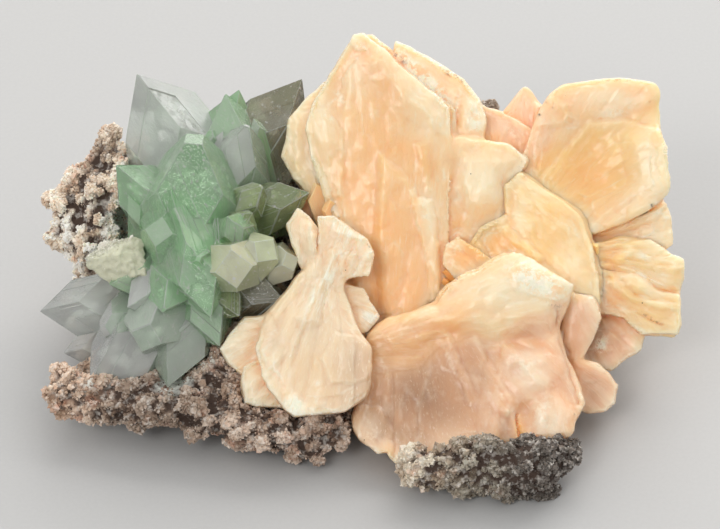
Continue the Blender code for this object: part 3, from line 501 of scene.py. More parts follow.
class Graph:
    """A material's or a group's node tree, filled node by node."""

    def __init__(self, tree):
        self.tree = tree

    def fill(self, sockets, values):
        """Gives each named socket its value, or links it to the socket that gives the value."""
        for name, value in values.items():
            if isinstance(value, bpy.types.NodeSocket):
                self.tree.links.new(value, sockets[name])
            else:
                sockets[name].default_value = value

    def add(self, kind, inputs=(), **settings):
        made = self.tree.nodes.new("ShaderNode" + kind)
        for name, value in settings.items():
            setattr(made, name, value)
        self.fill(made.inputs, dict(inputs))
        return made

    def maths(self, operation, first, second, clamp=False):
        made = self.add("Math", {0: first, 1: second}, operation=operation, use_clamp=clamp)
        return made.outputs[0]

    def times(self, first, second, clamp=False):
        return self.maths("MULTIPLY", first, second, clamp)

    def plus(self, first, second):
        return self.maths("ADD", first, second)

    def larger(self, first, *others):
        """The largest of the values."""
        for other in others:
            first = self.maths("MAXIMUM", first, other)
        return first

    def vector(self, operation, *parts):
        return self.add("VectorMath", dict(enumerate(parts)), operation=operation).outputs[0]

    def blend(self, share, first, second):
        """The first colour where share is 0, the second where it is 1."""
        made = self.add("Mix", {0: share, 6: first, 7: second}, data_type="RGBA", clamp_factor=True)
        return made.outputs[2]

    def between(self, value, low, high, to_low=0.0, to_high=1.0):
        """Maps low to high onto to_low to to_high, and keeps what lies beyond at the ends."""
        names = {"Value": value, "From Min": low, "From Max": high, "To Min": to_low, "To Max": to_high}
        return self.add("MapRange", names).outputs["Result"]

    def cloud(self, place, scale, detail=3.0, roughness=0.5):
        names = {"Vector": place, "Scale": scale, "Detail": detail, "Roughness": roughness}
        return self.add("TexNoise", names).outputs["Fac"]

    def bump(self, height, strength, distance, normal=None):
        """The surface's direction with the height on it, over the direction of another bump."""
        names = {"Height": height, "Strength": strength, "Distance": distance}
        if normal is not None:
            names["Normal"] = normal
        return self.add("Bump", names).outputs[0]

    def attribute(self, name, output="Fac"):
        return self.add("Attribute", attribute_name=name).outputs[output]

    def place(self):
        return self.add("TexCoord").outputs["Object"]

    def group(self, make, inputs):
        """The outputs of the node group that make builds the first time that it is asked for."""
        name = make.__name__
        tree = bpy.data.node_groups.get(name) or make(name)
        return self.add("Group", inputs, node_tree=tree).outputs


def new_group(name, inputs, outputs):
    """An empty node group. An input has its default, or its kind where it needs no default.
    Returns the group, its graph and its input and output sockets."""
    tree = bpy.data.node_groups.new(name, "ShaderNodeTree")
    for socket, default in inputs.items():
        kind = default if isinstance(default, str) else "Float"
        made = tree.interface.new_socket(socket, in_out="INPUT", socket_type="NodeSocket" + kind)
        if kind == "Float":
            made.default_value = default
    for socket, kind in outputs.items():
        tree.interface.new_socket(socket, in_out="OUTPUT", socket_type="NodeSocket" + kind)
    given = tree.nodes.new("NodeGroupInput").outputs
    wanted = tree.nodes.new("NodeGroupOutput").inputs
    return tree, Graph(tree), given, wanted


def fibres(name):
    """Fine streaks along the fibres of a sheaf."""
    tree, graph, given, wanted = new_group(
        name, {"Fibre": "Vector", "Fineness": 1.0},
        {"Streaks": "Float", "Scratches": "Float", "Height": "Float"},
    )
    stretched = graph.vector("MULTIPLY", given["Fibre"], (1.0, 0.035, 0.6))
    sized = graph.add("VectorMath", {0: stretched, "Scale": given["Fineness"]}, operation="SCALE").outputs[0]
    broad = graph.cloud(sized, 0.8, 4.0, 0.6)
    fine = graph.cloud(sized, 5.0, 3.0, 0.65)
    both = graph.plus(graph.times(broad, 0.6), graph.times(fine, 0.4))
    graph.fill(wanted, {
        "Streaks": graph.between(both, 0.36, 0.64),
        "Scratches": graph.between(fine, 0.58, 0.70),
        "Height": both,
    })
    return tree


def glints(name):
    """Many small flat facets, each tilted its own way, as a height in metres."""
    tree, graph, given, wanted = new_group(
        name, {"Place": "Vector", "Facets per metre": 1600.0}, {"Height": "Float", "Bright": "Float"},
    )
    cells = graph.add("TexVoronoi", {"Vector": given["Place"], "Scale": given["Facets per metre"]}).outputs
    offset = graph.vector("SUBTRACT", given["Place"], cells["Position"])
    tilt = graph.vector("SUBTRACT", cells["Color"], (0.5, 0.5, 0.5))
    slope = graph.add("VectorMath", {0: offset, 1: tilt}, operation="DOT_PRODUCT")
    chance = graph.add("SeparateColor", {0: cells["Color"]}).outputs[2]
    graph.fill(wanted, {"Height": slope.outputs["Value"], "Bright": graph.between(chance, 0.55, 0.95)})
    return tree


def specks(name):
    """Small sparse spots."""
    tree, graph, given, wanted = new_group(
        name, {"Place": "Vector", "Cells per metre": 360.0, "Share": 0.1, "Size": 0.05}, {"Mask": "Float"},
    )
    cells = graph.add("TexVoronoi", {"Vector": given["Place"], "Scale": given["Cells per metre"]}).outputs
    chances = graph.add("SeparateColor", {0: cells["Color"]}).outputs
    chosen = graph.maths("LESS_THAN", chances[0], given["Share"])
    near = graph.maths("LESS_THAN", cells["Distance"], graph.times(chances[1], given["Size"]))
    graph.fill(wanted, {"Mask": graph.times(chosen, near)})
    return tree


def new_material(name):
    made = bpy.data.materials.new(name)
    made.use_nodes = True
    made.node_tree.nodes.clear()
    graph = Graph(made.node_tree)
    shader = graph.add("BsdfPrincipled")
    out = graph.add("OutputMaterial", {"Surface": shader.outputs[0]})
    return made, graph, shader, out


def rgba(colour):
    """The colour with a fourth channel of 1."""
    return (*colour, 1.0)


def stilbite_material(name, settings, whiteness, silkiness, light_reach):
    """Pearly blades: pale thin edges, a painted glow in the hollows, tan that is partly painted shade, white
    frosted spots and ledges that are partly painted highlights, streaks along the fibres, dark marks and
    specks.
    """
    made, graph, shader, _ = new_material(name)
    place = graph.place()
    along = graph.attribute("fibre", "Vector")
    lines = graph.group(fibres, {"Fibre": along})
    facets = graph.group(glints, {"Place": place})
    cloud = graph.cloud(place, 75.0, 3.0, 0.5)
    wisps = graph.cloud(place, 420.0, 4.0, 0.65)
    flow = graph.cloud(graph.vector("MULTIPLY", along, (0.35, 0.09, 0.3)), 1.0, 3.0, 0.55)
    mixed = graph.plus(graph.times(cloud, 0.6), graph.times(flow, 0.4))
    uneven = graph.between(mixed, 0.38, 0.62, 0.75, 1.0)
    colour = graph.attribute("body", "Color")
    warmer = graph.vector("MULTIPLY", colour, (0.97, 0.87, 0.74))
    colour = graph.blend(graph.between(mixed, 0.62, 0.38, 0.0, 0.6), colour, warmer)
    # Tan painted over the tan patches, partly as painted shade
    brown = graph.times(graph.attribute("browned"), uneven, True)
    colour = graph.blend(brown, colour, rgba(settings.tan))
    pale = graph.times(graph.attribute("pale"), uneven)
    edges = graph.times(graph.attribute("margin"), graph.between(flow, 0.35, 0.65, 0.25, 0.8))
    pale = graph.larger(pale, edges, graph.times(graph.attribute("rim"), 0.6))
    colour = graph.blend(pale, colour, rgba(settings.rim))
    # Painted glow: deep orange near the creases, in the corners against other sheaves and in the glowing
    # patches, as if light shone through the blades
    deep = graph.larger(graph.attribute("glow"), graph.times(graph.attribute("hollow"), 0.6))
    colour = graph.blend(graph.times(deep, uneven), colour, rgba(settings.hollow))
    broken = graph.between(graph.cloud(place, 330.0, 3.0), 0.42, 0.6)
    # Ledges painted white, partly as painted highlights along their edges
    ledge = graph.times(graph.times(graph.attribute("ledge"), broken), whiteness)
    if silkiness > 1:
        scaly = graph.between(lines["Height"], 0.47, 0.55)
    else:
        scaly = graph.between(graph.cloud(place, 520.0, 4.0, 0.7), 0.44, 0.54)
    # Frosted spots painted white, partly the blades' own frosting and partly painted highlights where facets
    # glint
    frost = graph.times(graph.attribute("frost"), scaly, True)
    thin = graph.between(cloud, 0.4, 0.6, 0.1 * silkiness, 0.45 * silkiness)
    thin = graph.times(lines["Scratches"], thin)
    dusty = graph.times(graph.between(wisps, 0.54, 0.68), 0.14)
    # White painted from the streaks and dust, and from ledges and frosted spots partly as painted highlights
    white = graph.larger(thin, dusty, ledge, frost)
    colour = graph.blend(white, colour, (0.98, 0.88, 0.73, 1))
    # Darker brown marks, broken up into crumbs
    crumbs = graph.between(graph.cloud(place, 1100.0, 3.0, 0.7), 0.5, 0.62)
    soil = graph.times(graph.attribute("soil"), crumbs)
    colour = graph.blend(soil, colour, rgba(settings.soil))
    spots = graph.group(specks, {"Place": place, "Share": 0.35})["Mask"]
    colour = graph.blend(spots, colour, rgba(settings.speck))
    bump = graph.bump(graph.times(facets["Height"], graph.larger(frost, ledge)), 0.6, 1.0)
    bump = graph.bump(wisps, 0.45, 0.25 * MM, bump)
    bump = graph.bump(lines["Height"], 0.6, 0.4 * silkiness * MM, bump)
    polish = graph.plus(graph.times(lines["Streaks"], 0.4), graph.times(facets["Bright"], frost))
    rough = graph.between(polish, 0.0, 1.2, 0.42, 0.12)
    graph.fill(shader.inputs, {
        "Base Color": colour, "Roughness": rough, "Normal": bump, "IOR": 1.5,
        "Subsurface Weight": 1.0, "Subsurface Radius": (1.0, 0.88, 0.76),
        "Subsurface Scale": light_reach * MM, "Coat Weight": 0.4, "Coat Roughness": 0.2,
    })
    return made


def apophyllite_material(name, settings, clearness):
    """Clear green crystal with faint clouds, fine lines along each crystal, each side's painted shade from
    its tint, and glittering etched sides and small sparks, painted white as glints.
    """
    made, graph, shader, out = new_material(name)
    place = graph.place()
    cloud = graph.cloud(place, 150.0, 5.0, 0.6)
    lines = graph.group(fibres, {"Fibre": graph.attribute("fibre", "Vector"), "Fineness": 0.4})
    facets = graph.group(glints, {"Place": place, "Facets per metre": 1100.0})
    etched = graph.attribute("etched")
    tint = graph.attribute("tint", "Color")
    colour = graph.blend(graph.between(cloud, 0.45, 0.75, 0.0, 0.45), tint, (0.96, 0.98, 0.94, 1))
    # Painted glints: the etched sides glitter and small sparks are painted white, along with the white
    # scratches along the crystal
    sparkling = graph.times(etched, facets["Bright"])
    sparks = graph.group(specks, {"Place": place, "Cells per metre": 450.0, "Share": 0.35, "Size": 0.16})
    white = graph.larger(sparkling, lines["Scratches"], sparks["Mask"])
    colour = graph.blend(white, colour, (1.0, 1.0, 0.97, 1))
    bump = graph.bump(graph.times(facets["Height"], etched), 0.7, 1.0)
    bump = graph.bump(graph.cloud(place, 210.0, 3.0), 0.25, 0.1 * MM, bump)
    bump = graph.bump(lines["Height"], 0.9, 0.3 * MM, bump)
    rough = graph.times(graph.larger(etched, white), 0.25)
    rough = graph.larger(graph.between(cloud, 0.5, 0.8, 0.02, 0.2), rough)
    graph.fill(shader.inputs, {
        "Base Color": colour, "Roughness": rough, "Normal": bump, "IOR": 1.535,
        "Transmission Weight": clearness,
    })
    soaked = graph.add("VolumeAbsorption", {"Color": rgba(settings.depth), "Density": settings.density})
    graph.fill(out.inputs, {"Volume": soaked.outputs[0]})
    return made


def veil_material():
    """White feathery flaws inside the clear crystals."""
    made, graph, shader, _ = new_material("crystal_veils")
    place = graph.place()
    feather = graph.cloud(place, 500.0, 3.0, 0.6)
    colour = graph.blend(graph.between(feather, 0.35, 0.65), (0.72, 0.85, 0.72, 1), (0.96, 0.98, 0.95, 1))
    graph.fill(shader.inputs, {
        "Base Color": colour, "Roughness": 0.35, "Alpha": graph.between(feather, 0.4, 0.6, 0.25, 0.75),
    })
    return made


def coated_material():
    """A crystal dulled by a sugary white crust."""
    made, graph, shader, _ = new_material("coated_crystal")
    place = graph.place()
    crust = graph.cloud(place, 600.0, 4.0, 0.65)
    sugared = graph.plus(graph.attribute("shade"), graph.between(crust, 0.3, 0.7, -0.25, 0.25))
    colour = graph.blend(graph.between(sugared, 0.1, 0.9), (0.58, 0.58, 0.44, 1), (0.92, 0.88, 0.78, 1))
    bump = graph.bump(crust, 0.9, 0.4 * MM)
    graph.fill(shader.inputs, {
        "Base Color": colour, "Roughness": 0.6, "Normal": bump,
        "Subsurface Weight": 0.3, "Subsurface Radius": (1.0, 0.9, 0.7), "Subsurface Scale": 1.5 * MM,
    })
    return made


def sugary(name):
    """Druse colour: painted shade in the crevices, its own tint, and painted light, near white, at the tips.
    """
    tree, graph, given, wanted = new_group(
        name, {"Shade": 0.5, "Tint": "Color", "Place": "Vector"}, {"Colour": "Color"},
    )
    tint, shade, place = given["Tint"], given["Shade"], given["Place"]
    dull = graph.vector("MULTIPLY", tint, (0.55, 0.47, 0.41))
    rosy = graph.vector("MULTIPLY", tint, (1.0, 0.66, 0.58))
    tint = graph.blend(graph.between(graph.cloud(place, 210.0, 3.0, 0.6), 0.42, 0.56), dull, tint)
    reddish = graph.between(graph.cloud(place, 330.0, 3.0, 0.6), 0.56, 0.66, 0.0, 0.45)
    tint = graph.blend(reddish, tint, rosy)
    # Painted shade in the crevices and painted light at the tips, from how far the place stands out
    colour = graph.blend(graph.between(shade, 0.25, 0.58), (0.07, 0.042, 0.03, 1), tint)
    lit = graph.vector("MULTIPLY_ADD", tint, (1.4, 1.42, 1.42), (0.07, 0.068, 0.06))
    capped = graph.vector("MINIMUM", lit, (0.94, 0.91, 0.85))
    colour = graph.blend(graph.between(shade, 0.58, 0.88), colour, capped)
    fleck = graph.between(graph.cloud(place, 900.0, 2.0), 0.52, 0.72, 0.0, 0.55)
    graph.fill(wanted, {"Colour": graph.blend(fleck, colour, (0.85, 0.80, 0.74, 1))})
    return tree


def crust_colour(graph, place):
    """The druse colour of a piece from its own attributes."""
    return graph.group(sugary, {
        "Shade": graph.attribute("shade"), "Tint": graph.attribute("tint", "Color"), "Place": place,
    })["Colour"]


def rock_material():
    """Rock that the druse grows on, in the druse's colours with their painted shade and light, and painted
    pale under the green crystals, partly as their pale bed and partly as painted light seen through them.
    """
    made, graph, shader, _ = new_material("matrix_rock")
    place = graph.place()
    # Painted pale under the green crystals: partly their pale bed, partly painted light that brightens what
    # is seen through them
    colour = graph.blend(graph.attribute("bed"), crust_colour(graph, place), (0.90, 0.91, 0.85, 1))
    bump = graph.bump(graph.cloud(place, 1100.0, 4.0, 0.7), 0.9, 0.5 * MM)
    graph.fill(shader.inputs, {"Base Color": colour, "Roughness": 0.8, "Normal": bump})
    return made


def druse_material():
    """Sugary crystals, with painted shade between the knobs and painted light, near white, at their tips."""
    made, graph, shader, _ = new_material("druse")
    place = graph.place()
    graph.fill(shader.inputs, {
        "Base Color": crust_colour(graph, place), "Roughness": 0.45, "Subsurface Weight": 0.2,
        "Subsurface Radius": (1.0, 0.8, 0.6), "Subsurface Scale": 0.6 * MM,
    })
    return made


def floor_material(settings):
    """Smooth pale card with a trace of tooth."""
    made, graph, shader, _ = new_material("floor")
    place = graph.place()
    tooth = graph.cloud(place, 1400.0, 2.0)
    shade = [channel * 0.97 for channel in settings.floor]
    colour = graph.blend(graph.between(tooth, 0.3, 0.7), rgba(shade), rgba(settings.floor))
    graph.fill(shader.inputs, {"Base Color": colour, "Roughness": 0.7})
    return made


def new_object(name, mesh):
    obj = bpy.data.objects.new(name, mesh)
    bpy.context.scene.collection.objects.link(obj)
    return obj


def copy_of(node):
    """A copy of a CAD node's shape, with its loose triangles merged."""
    shape = bmesh.new()
    shape.from_mesh(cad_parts[node].data)
    bmesh.ops.remove_doubles(shape, verts=shape.verts, dist=WELD)
    bmesh.ops.recalc_face_normals(shape, faces=shape.faces)
    return shape


def as_mesh(name, shape):
    mesh = bpy.data.meshes.new(name)
    shape.to_mesh(mesh)
    shape.free()
    return mesh


def settle(obj):
    """Replaces the object's mesh by what its modifiers make of it."""
    bpy.context.view_layer.update()
    graph = bpy.context.evaluated_depsgraph_get()
    mesh = bpy.data.meshes.new_from_object(obj.evaluated_get(graph))
    obj.modifiers.clear()
    obj.data = mesh


def melt(obj, spacing, rounds):
    """Gives the object evenly spaced points, and rounds its edges a little."""
    remesh = obj.modifiers.new("Even", "REMESH")
    remesh.mode = "VOXEL"
    remesh.voxel_size = spacing
    smooth = obj.modifiers.new("Round", "SMOOTH")
    smooth.factor = 0.5
    smooth.iterations = rounds
    settle(obj)


def cut_fine(obj, spacing):
    """Gives the object evenly spaced points and keeps its sharp edges."""
    remesh = obj.modifiers.new("Crisp", "REMESH")
    remesh.mode = "SHARP"
    remesh.scale = REMESH_SCALE
    remesh.octree_depth = math.ceil(math.log2(max(obj.dimensions) / REMESH_SCALE / spacing))
    remesh.use_remove_disconnected = False
    settle(obj)


def read(mesh, what="co"):
    """The places of the mesh's points, or their normals, in rows."""
    values = np.empty(len(mesh.vertices) * 3, np.float32)
    rows, field = (mesh.vertices, "co") if what == "co" else (mesh.vertex_normals, "vector")
    rows.foreach_get(field, values)
    return values.reshape(-1, 3).astype(float)


def move_points(mesh, places):
    mesh.vertices.foreach_set("co", places.astype(np.float32).ravel())
    mesh.update()


def keep_values(mesh, **values):
    """Writes values for each point of the mesh, for its material to read: numbers, vectors or colours."""
    kinds = {1: ("FLOAT", "value"), 3: ("FLOAT_VECTOR", "vector"), 4: ("FLOAT_COLOR", "color")}
    for name, rows in values.items():
        flat = np.ascontiguousarray(rows, np.float32).ravel()
        kind, field = kinds[len(flat) // len(mesh.vertices)]
        mesh.attributes.new(name, kind, "POINT").data.foreach_set(field, flat)


def on_face(places):
    """Places in the upright frame as across, up and out on the display face, in millimetres."""
    across, back, height = (places / MM).T
    height = height - FACE_CENTRE_HEIGHT
    lean, rise = math.sin(FACE_LEAN), math.cos(FACE_LEAN)
    out = height * lean - back * rise
    up = back * lean + height * rise
    nearer = 1 - out / VIEW_DISTANCE
    return across / nearer, up / nearer, out


def noise_at(*columns):
    """Smooth noise from -1 to 1 at each row of the columns."""
    return np.array([noise.noise(place) for place in np.column_stack(columns)])


def noise_in(places, pace, shift=0.0):
    """Smooth noise from -1 to 1 at each place. The pace is how fast it changes from place to place."""
    return noise_at(*(places * pace + shift).T)


def waves(places, rows):
    """Several noises added up at each place, from rows of pace and height."""
    return sum(noise_in(places, pace) * height for pace, height in rows)


def opaque(colours):
    """The colours with a fourth channel of 1."""
    return np.column_stack([colours, np.ones(len(colours))])


def edge_points(shape, wanted):
    """Points along the edges whose angle is wanted, for looking up how near an edge is."""
    points = []
    for edge in shape.edges:
        if not edge.is_manifold or not wanted(edge.calc_face_angle_signed(0.0)):
            continue
        start, end = (vert.co for vert in edge.verts)
        count = max(1, math.ceil((end - start).length / (EDGE_SAMPLE * MM)))
        points += [start.lerp(end, step / count) for step in range(count + 1)]
    tree = kdtree.KDTree(len(points))
    for number, point in enumerate(points):
        tree.insert(point, number)
    tree.balance()
    return tree


def gap_to(tree, places):
    """How far each place is from the tree's nearest point, in millimetres."""
    return np.array([tree.find(place)[2] for place in places]) / MM


def surfaces_of(nodes):
    """The CAD nodes' surfaces, for looking up how near they are."""
    shape = bmesh.new()
    for node in nodes:
        shape.from_mesh(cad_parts[node].data)
    tree = bvhtree.BVHTree.FromBMesh(shape)
    shape.free()
    return tree


def gap_to_surfaces(nodes, places):
    """How far each place is from the surfaces of the CAD nodes, in millimetres."""
    tree = surfaces_of(nodes)
    return np.array([tree.find_nearest(place)[3] for place in places]) / MM


def corner_share(node, places):
    """How deep each place lies in the corner where its sheaf meets another, from 0 to 1."""
    if node == FREE_SHEAF:
        return np.zeros(len(places))
    others = [other for other in FANS if other not in (node, FREE_SHEAF)]
    return np.clip(1 - gap_to_surfaces(others, places) / CORNER_REACH, 0, 1) ** 2


def soften(mesh, share, rounds):
    """Draws each point towards its neighbours by its share, which rounds off steps and edges."""
    if share.max() < 0.05:
        return
    pairs = np.empty(len(mesh.edges) * 2, np.int32)
    mesh.edges.foreach_get("vertices", pairs)
    ends = np.concatenate([pairs, pairs.reshape(-1, 2)[:, ::-1].ravel()])
    own, other = ends[0::2], ends[1::2]
    places = read(mesh)
    count = np.bincount(own, minlength=len(places))
    for _ in range(rounds):
        middle = np.stack([np.bincount(own, column[other], len(places)) for column in places.T], 1)
        places += (middle / count[:, None] - places) * 0.5 * share[:, None]
    move_points(mesh, places)


def terraced(gap, places):
    """Thin layers that end inside a blade's edge: how far they step down, and how near a step is.
    The gap to the edge and the places are in millimetres."""
    wander = waves(places, TERRACE_WAVES)
    drop, near = np.zeros(len(gap)), np.zeros(len(gap))
    for inset, depth in TERRACES:
        there = np.clip(noise_in(places, 0.09, inset * 7) * 4 + 0.6, 0, 1)
        beyond = gap + wander - inset
        drop -= depth * there * (1 - np.clip(beyond / TERRACE_RISER, 0, 1))
        near = np.maximum(near, there * np.exp(-((beyond - TERRACE_EDGE) / TERRACE_EDGE_WIDTH) ** 2))
    return drop, near


def eased(share):
    """The share from 0 to 1, with a soft start and end."""
    share = np.clip(share, 0, 1)
    return share * share * (3 - 2 * share)


def soft_steps(values, softness=0.14):
    """A staircase with soft risers, and how near each value is to a riser."""
    whole = np.floor(values)
    part = values - whole
    near = np.exp(-((part - 0.5) / (softness * 0.8)) ** 2)
    return whole + eased((part - 0.5) / softness + 0.5), near


def inside_by(outline, u, v):
    """How far inside the outline each place lies, in millimetres. It is negative outside."""
    nearest = np.full(len(u), np.inf)
    crossings = np.zeros(len(u), bool)
    for (u0, v0), (u1, v1) in zip(outline, outline[1:] + outline[:1]):
        du, dv = u1 - u0, v1 - v0
        share = np.clip(((u - u0) * du + (v - v0) * dv) / (du * du + dv * dv), 0, 1)
        nearest = np.minimum(nearest, np.hypot(u - u0 - share * du, v - v0 - share * dv))
        if dv:
            spans = (v0 > v) != (v1 > v)
            crossings ^= spans & (u < u0 + (v - v0) * du / dv)
    return np.where(crossings, nearest, -nearest)


def patch_mask(patches, u, v):
    """Each patch's strength in its middle, falling off to 0 round it."""
    mask = np.zeros(len(u))
    for across, up, half_width, half_height, degrees, strength in patches:
        cosine, sine = math.cos(math.radians(degrees)), math.sin(math.radians(degrees))
        du, dv = u - across, v - up
        x, y = (du * cosine + dv * sine) / half_width, (dv * cosine - du * sine) / half_height
        mask = np.maximum(mask, strength * np.exp(-(x ** 2 + y ** 2)))
    return mask


def laths(side, along, dice):
    """Slender pointed plates along the fibres: how far they rise or sink, and where their edges are."""
    height, edge = np.zeros(len(side)), np.zeros(len(side))
    low, high = side.min(), side.max()
    near, far = along.min(), along.max()
    for _ in range(LATHS):
        middle = dice.uniform(low, high), dice.uniform(near, far)
        half = dice.uniform(*LATH_HALF) * FAN_RADIUS / max(middle[1], 8), dice.uniform(*LATH_REACH)
        rise = dice.uniform(*LATH_RISE)
        x, y = np.abs(side - middle[0]) / half[0], np.abs(along - middle[1]) / half[1]
        inner = 1 - (x + np.maximum(0, y - 0.55) / 0.45)
        height += rise * eased(inner * half[0] / 0.35)
        edge = np.maximum(edge, abs(rise) * np.exp(-((inner * half[0] - 0.15) / 0.2) ** 2))
    return height, edge


def lay_band(mesh):
    """Lays the band along the top of the right sheaf nearly level with the blade under it."""
    places = read(mesh)
    u, v, w = on_face(places)
    level = BAND_LEVEL + BAND_RISE * np.maximum(v - BAND_FOOT, 0)
    drop = np.minimum(patch_mask(BAND, u, v), BAND_LAID) * np.maximum(w - level, 0)
    move_points(mesh, places - drop[:, None] * MM * np.array(turned(0, 0, 1)))


def worn_sheaf(node, spacing):
    """A sheaf in fine points, worn and grown together, and how far each point is from the edges and
    from the creases."""
    shape = copy_of(node)
    rims = edge_points(shape, lambda angle: angle > CONVEX_ANGLE)
    creases = edge_points(shape, lambda angle: angle < CONCAVE_ANGLE)
    obj = new_object(node + "_crystal", as_mesh(node, shape))
    cut_fine(obj, spacing)
    mesh = obj.data
    u, v, _ = on_face(read(mesh))
    soften(mesh, patch_mask(GROWN_TOGETHER, u, v), GROWN_ROUNDS)
    lay_band(mesh)
    soften(mesh, patch_mask(SUNK, u, v), SUNK_ROUNDS)
    soften(mesh, np.full(len(u), WORN_SHARE), WORN_ROUNDS)
    places = read(mesh)
    return obj, gap_to(rims, places), gap_to(creases, places)


def grow_fibres(fans, u, v, w, settings):
    """What a sheaf's fibres give each point: height, nearness to a step where white is painted partly as a
    highlight, fibre place and colour.
    """
    dice = np.random.default_rng(SEED)
    gaps = np.array([
        np.min([np.hypot(u - across, v - up) for across, up in fan.spots], axis=0) for fan in fans
    ])
    share = np.exp(-((gaps - gaps.min(axis=0)) / FAN_BLEND) ** 2)
    share /= share.sum(axis=0)
    nearest = gaps.argmin(axis=0)
    height, ledge = np.zeros(len(u)), np.zeros(len(u))
    fibre, body = np.zeros((len(u), 3)), np.zeros((len(u), 4))
    for number, fan in enumerate(fans):
        mine = share[number] > LEAST_SHARE
        own_share = share[number][mine]
        du, dv, layer = u[mine] - fan.waist[0], v[mine] - fan.waist[1], w[mine]
        along, side = np.hypot(du, dv), np.arctan2(du, dv) * FAN_RADIUS
        offset = np.full(len(side), FAN_OFFSET * number)
        ridges = noise_at(side * 0.75, along * 0.03, offset)
        ridges = ridges + 0.6 * noise_at(side * 1.9, along * 0.05, offset + 3)
        level = side * STAIRS_PER_MM
        growth = level + noise_at(side * 0.14, along * 0.03, layer * 0.1 + offset) * 2.2
        stairs, near = soft_steps(growth + noise_at(side * 0.9, along * 0.2, offset) * 0.10)
        stairs = stairs - level
        plates, edges = laths(side, along, dice)
        follow = own_share * np.clip(along / WAIST_FADE, 0, 1)
        stepped = min(fan.relief, MOST_STEPPED)
        height[mine] += follow * (
            fan.relief * ridges * settings.ridge_height + stepped * stairs * settings.ledge_height
            + stepped * plates * settings.lath_height
        )
        ledge[mine] += follow * stepped * np.maximum(near * 0.5, edges)
        body[mine] += own_share[:, None] * np.array(rgba(getattr(settings, fan.colour)))
        own = nearest[mine] == number
        fibre[np.flatnonzero(mine)[own]] = np.column_stack([side, along, layer])[own]
    return height, ledge, fibre, body


def dress_sheaf(node, settings, material, slot):
    """A sheaf in place of its CAD node, with ridges along its fibres and ledges between its layers."""
    obj, gap, crease_gap = worn_sheaf(node, settings.detail)
    mesh = obj.data
    places, normals = read(mesh), read(mesh, "normal")
    u, v, w = on_face(places)
    points = places / MM
    rim = np.exp(-(gap / RIM_REACH) ** 1.5)
    margin = np.exp(-(gap / MARGIN_REACH) ** 1.4)
    # Painted glow near the creases
    hollow = np.exp(-(crease_gap / HOLLOW_GLOW_REACH) ** 1.5)
    apart = 1 - patch_mask(GROWN_TOGETHER, u, v)
    corner = corner_share(node, places)
    height, ledge, fibre, body = grow_fibres(FANS[node], u, v, w, settings)
    facing = np.clip(normals @ np.array([0, -math.cos(FACE_LEAN), math.sin(FACE_LEAN)]), 0, 1)
    front = np.clip((facing - FRONT_FACING) / FACING_BLEND, 0, 1)
    across = u + noise_in(points, 0.7) * LAYER_RAGGED
    up = v + noise_in(points, 0.7, 9) * LAYER_RAGGED
    for outline, rise, slope in LAYERS[node]:
        depth = inside_by(outline, across, up)
        height += rise * MM * np.clip(depth / slope, 0, 1) * front
        # Where the layers end, white is painted along their edges, partly as a highlight
        crisp = min(1.0, abs(rise) / (2 * slope))
        ledge = np.maximum(ledge, crisp * np.exp(-((depth - LEDGE_INSET) / LEDGE_WIDTH) ** 2))
    drop, step = terraced(gap, points)
    height += drop * MM * front * apart
    ledge = np.maximum(ledge, step * apart)
    swell = waves(points, SWELL_WAVES) + (1 - apart) * noise_in(points, 0.42, 5) * GROWN_SWELL
    swell += waves(points, DENT_WAVES)
    crumbs = waves(points, CRUMB_WAVES) * MM
    layers = noise_at(u * 0.15, v * 0.15, w * 2.4) * SIDE_LAYERS * MM
    push = (height + swell * MM) * facing + crumbs * rim + layers * (1 - facing)
    push += CONTACT_FILL * MM * np.clip((SIDE_FACING - facing) / FACING_BLEND, 0, 1)
    push += CORNER_FILL * MM * corner
    sway = np.zeros((len(u), 3))
    for pace, reach in OUTLINE_WANDER:
        sideways = noise_at(u * pace, v * pace, w * 0.1)[:, None] * np.array(turned(1, 0, 0))
        upwards = noise_at(u * pace, v * pace, w * 0.1 + 40)[:, None] * np.array(turned(0, 1, 0))
        sway += reach * MM * (sideways + upwards)
    places = places + normals * push[:, None] + sway * margin[:, None]
    places[:, 2] = np.maximum(places[:, 2], 0)
    move_points(mesh, places)
    # Painted light among these values: the glow near creases and in corners against other sheaves, the white
    # on ledges and frosted spots that is partly painted highlights, and tan that is partly painted shade
    keep_values(
        mesh, rim=rim, margin=margin * apart, hollow=np.maximum(hollow * apart, corner), ledge=ledge * facing,
        frost=patch_mask(FROSTED_AND_GLINTING, u, v) * front, soil=patch_mask(DARK_MARKED, u, v),
        pale=patch_mask(PALE, u, v) * front, browned=patch_mask(BROWNED_AND_SHADED, u, v),
        glow=patch_mask(GLOWING, u, v), fibre=fibre, body=body,
    )
    mesh.shade_smooth()
    mesh.set_sharp_from_angle(angle=EDGE_ANGLE)
    stand_for(obj, node, material, slot)


def block(width, thickness, length):
    """A block that hangs down from the origin."""
    shape = bmesh.new()
    place = Matrix.Translation((0, 0, -length / 2)) @ Matrix.Diagonal((width, thickness, length, 1))
    bmesh.ops.create_cube(shape, size=1.0, matrix=place)
    return shape


def wear_edges(shape, width, segments):
    """Bevels every edge of the shape by a width in millimetres."""
    bmesh.ops.bevel(
        shape, geom=shape.edges[:], offset=width * MM, offset_type="OFFSET", segments=segments,
        profile=0.5, affect="EDGES", material=-1, clamp_overlap=True,
    )


def add_standing(whole, shape, crystal):
    """Adds the upright shape of a crystal where the crystal stands. Returns its points, each with its
    place in the upright shape, and its faces."""
    local = [vert.co / MM for vert in shape.verts]
    shape.transform(stance(crystal))
    face_outwards(shape)
    mesh = as_mesh("grown", shape)
    start, first = len(whole.verts), len(whole.faces)
    whole.from_mesh(mesh)
    bpy.data.meshes.remove(mesh)
    whole.verts.ensure_lookup_table()
    whole.faces.ensure_lookup_table()
    return zip(whole.verts[start:], local), whole.faces[first:]


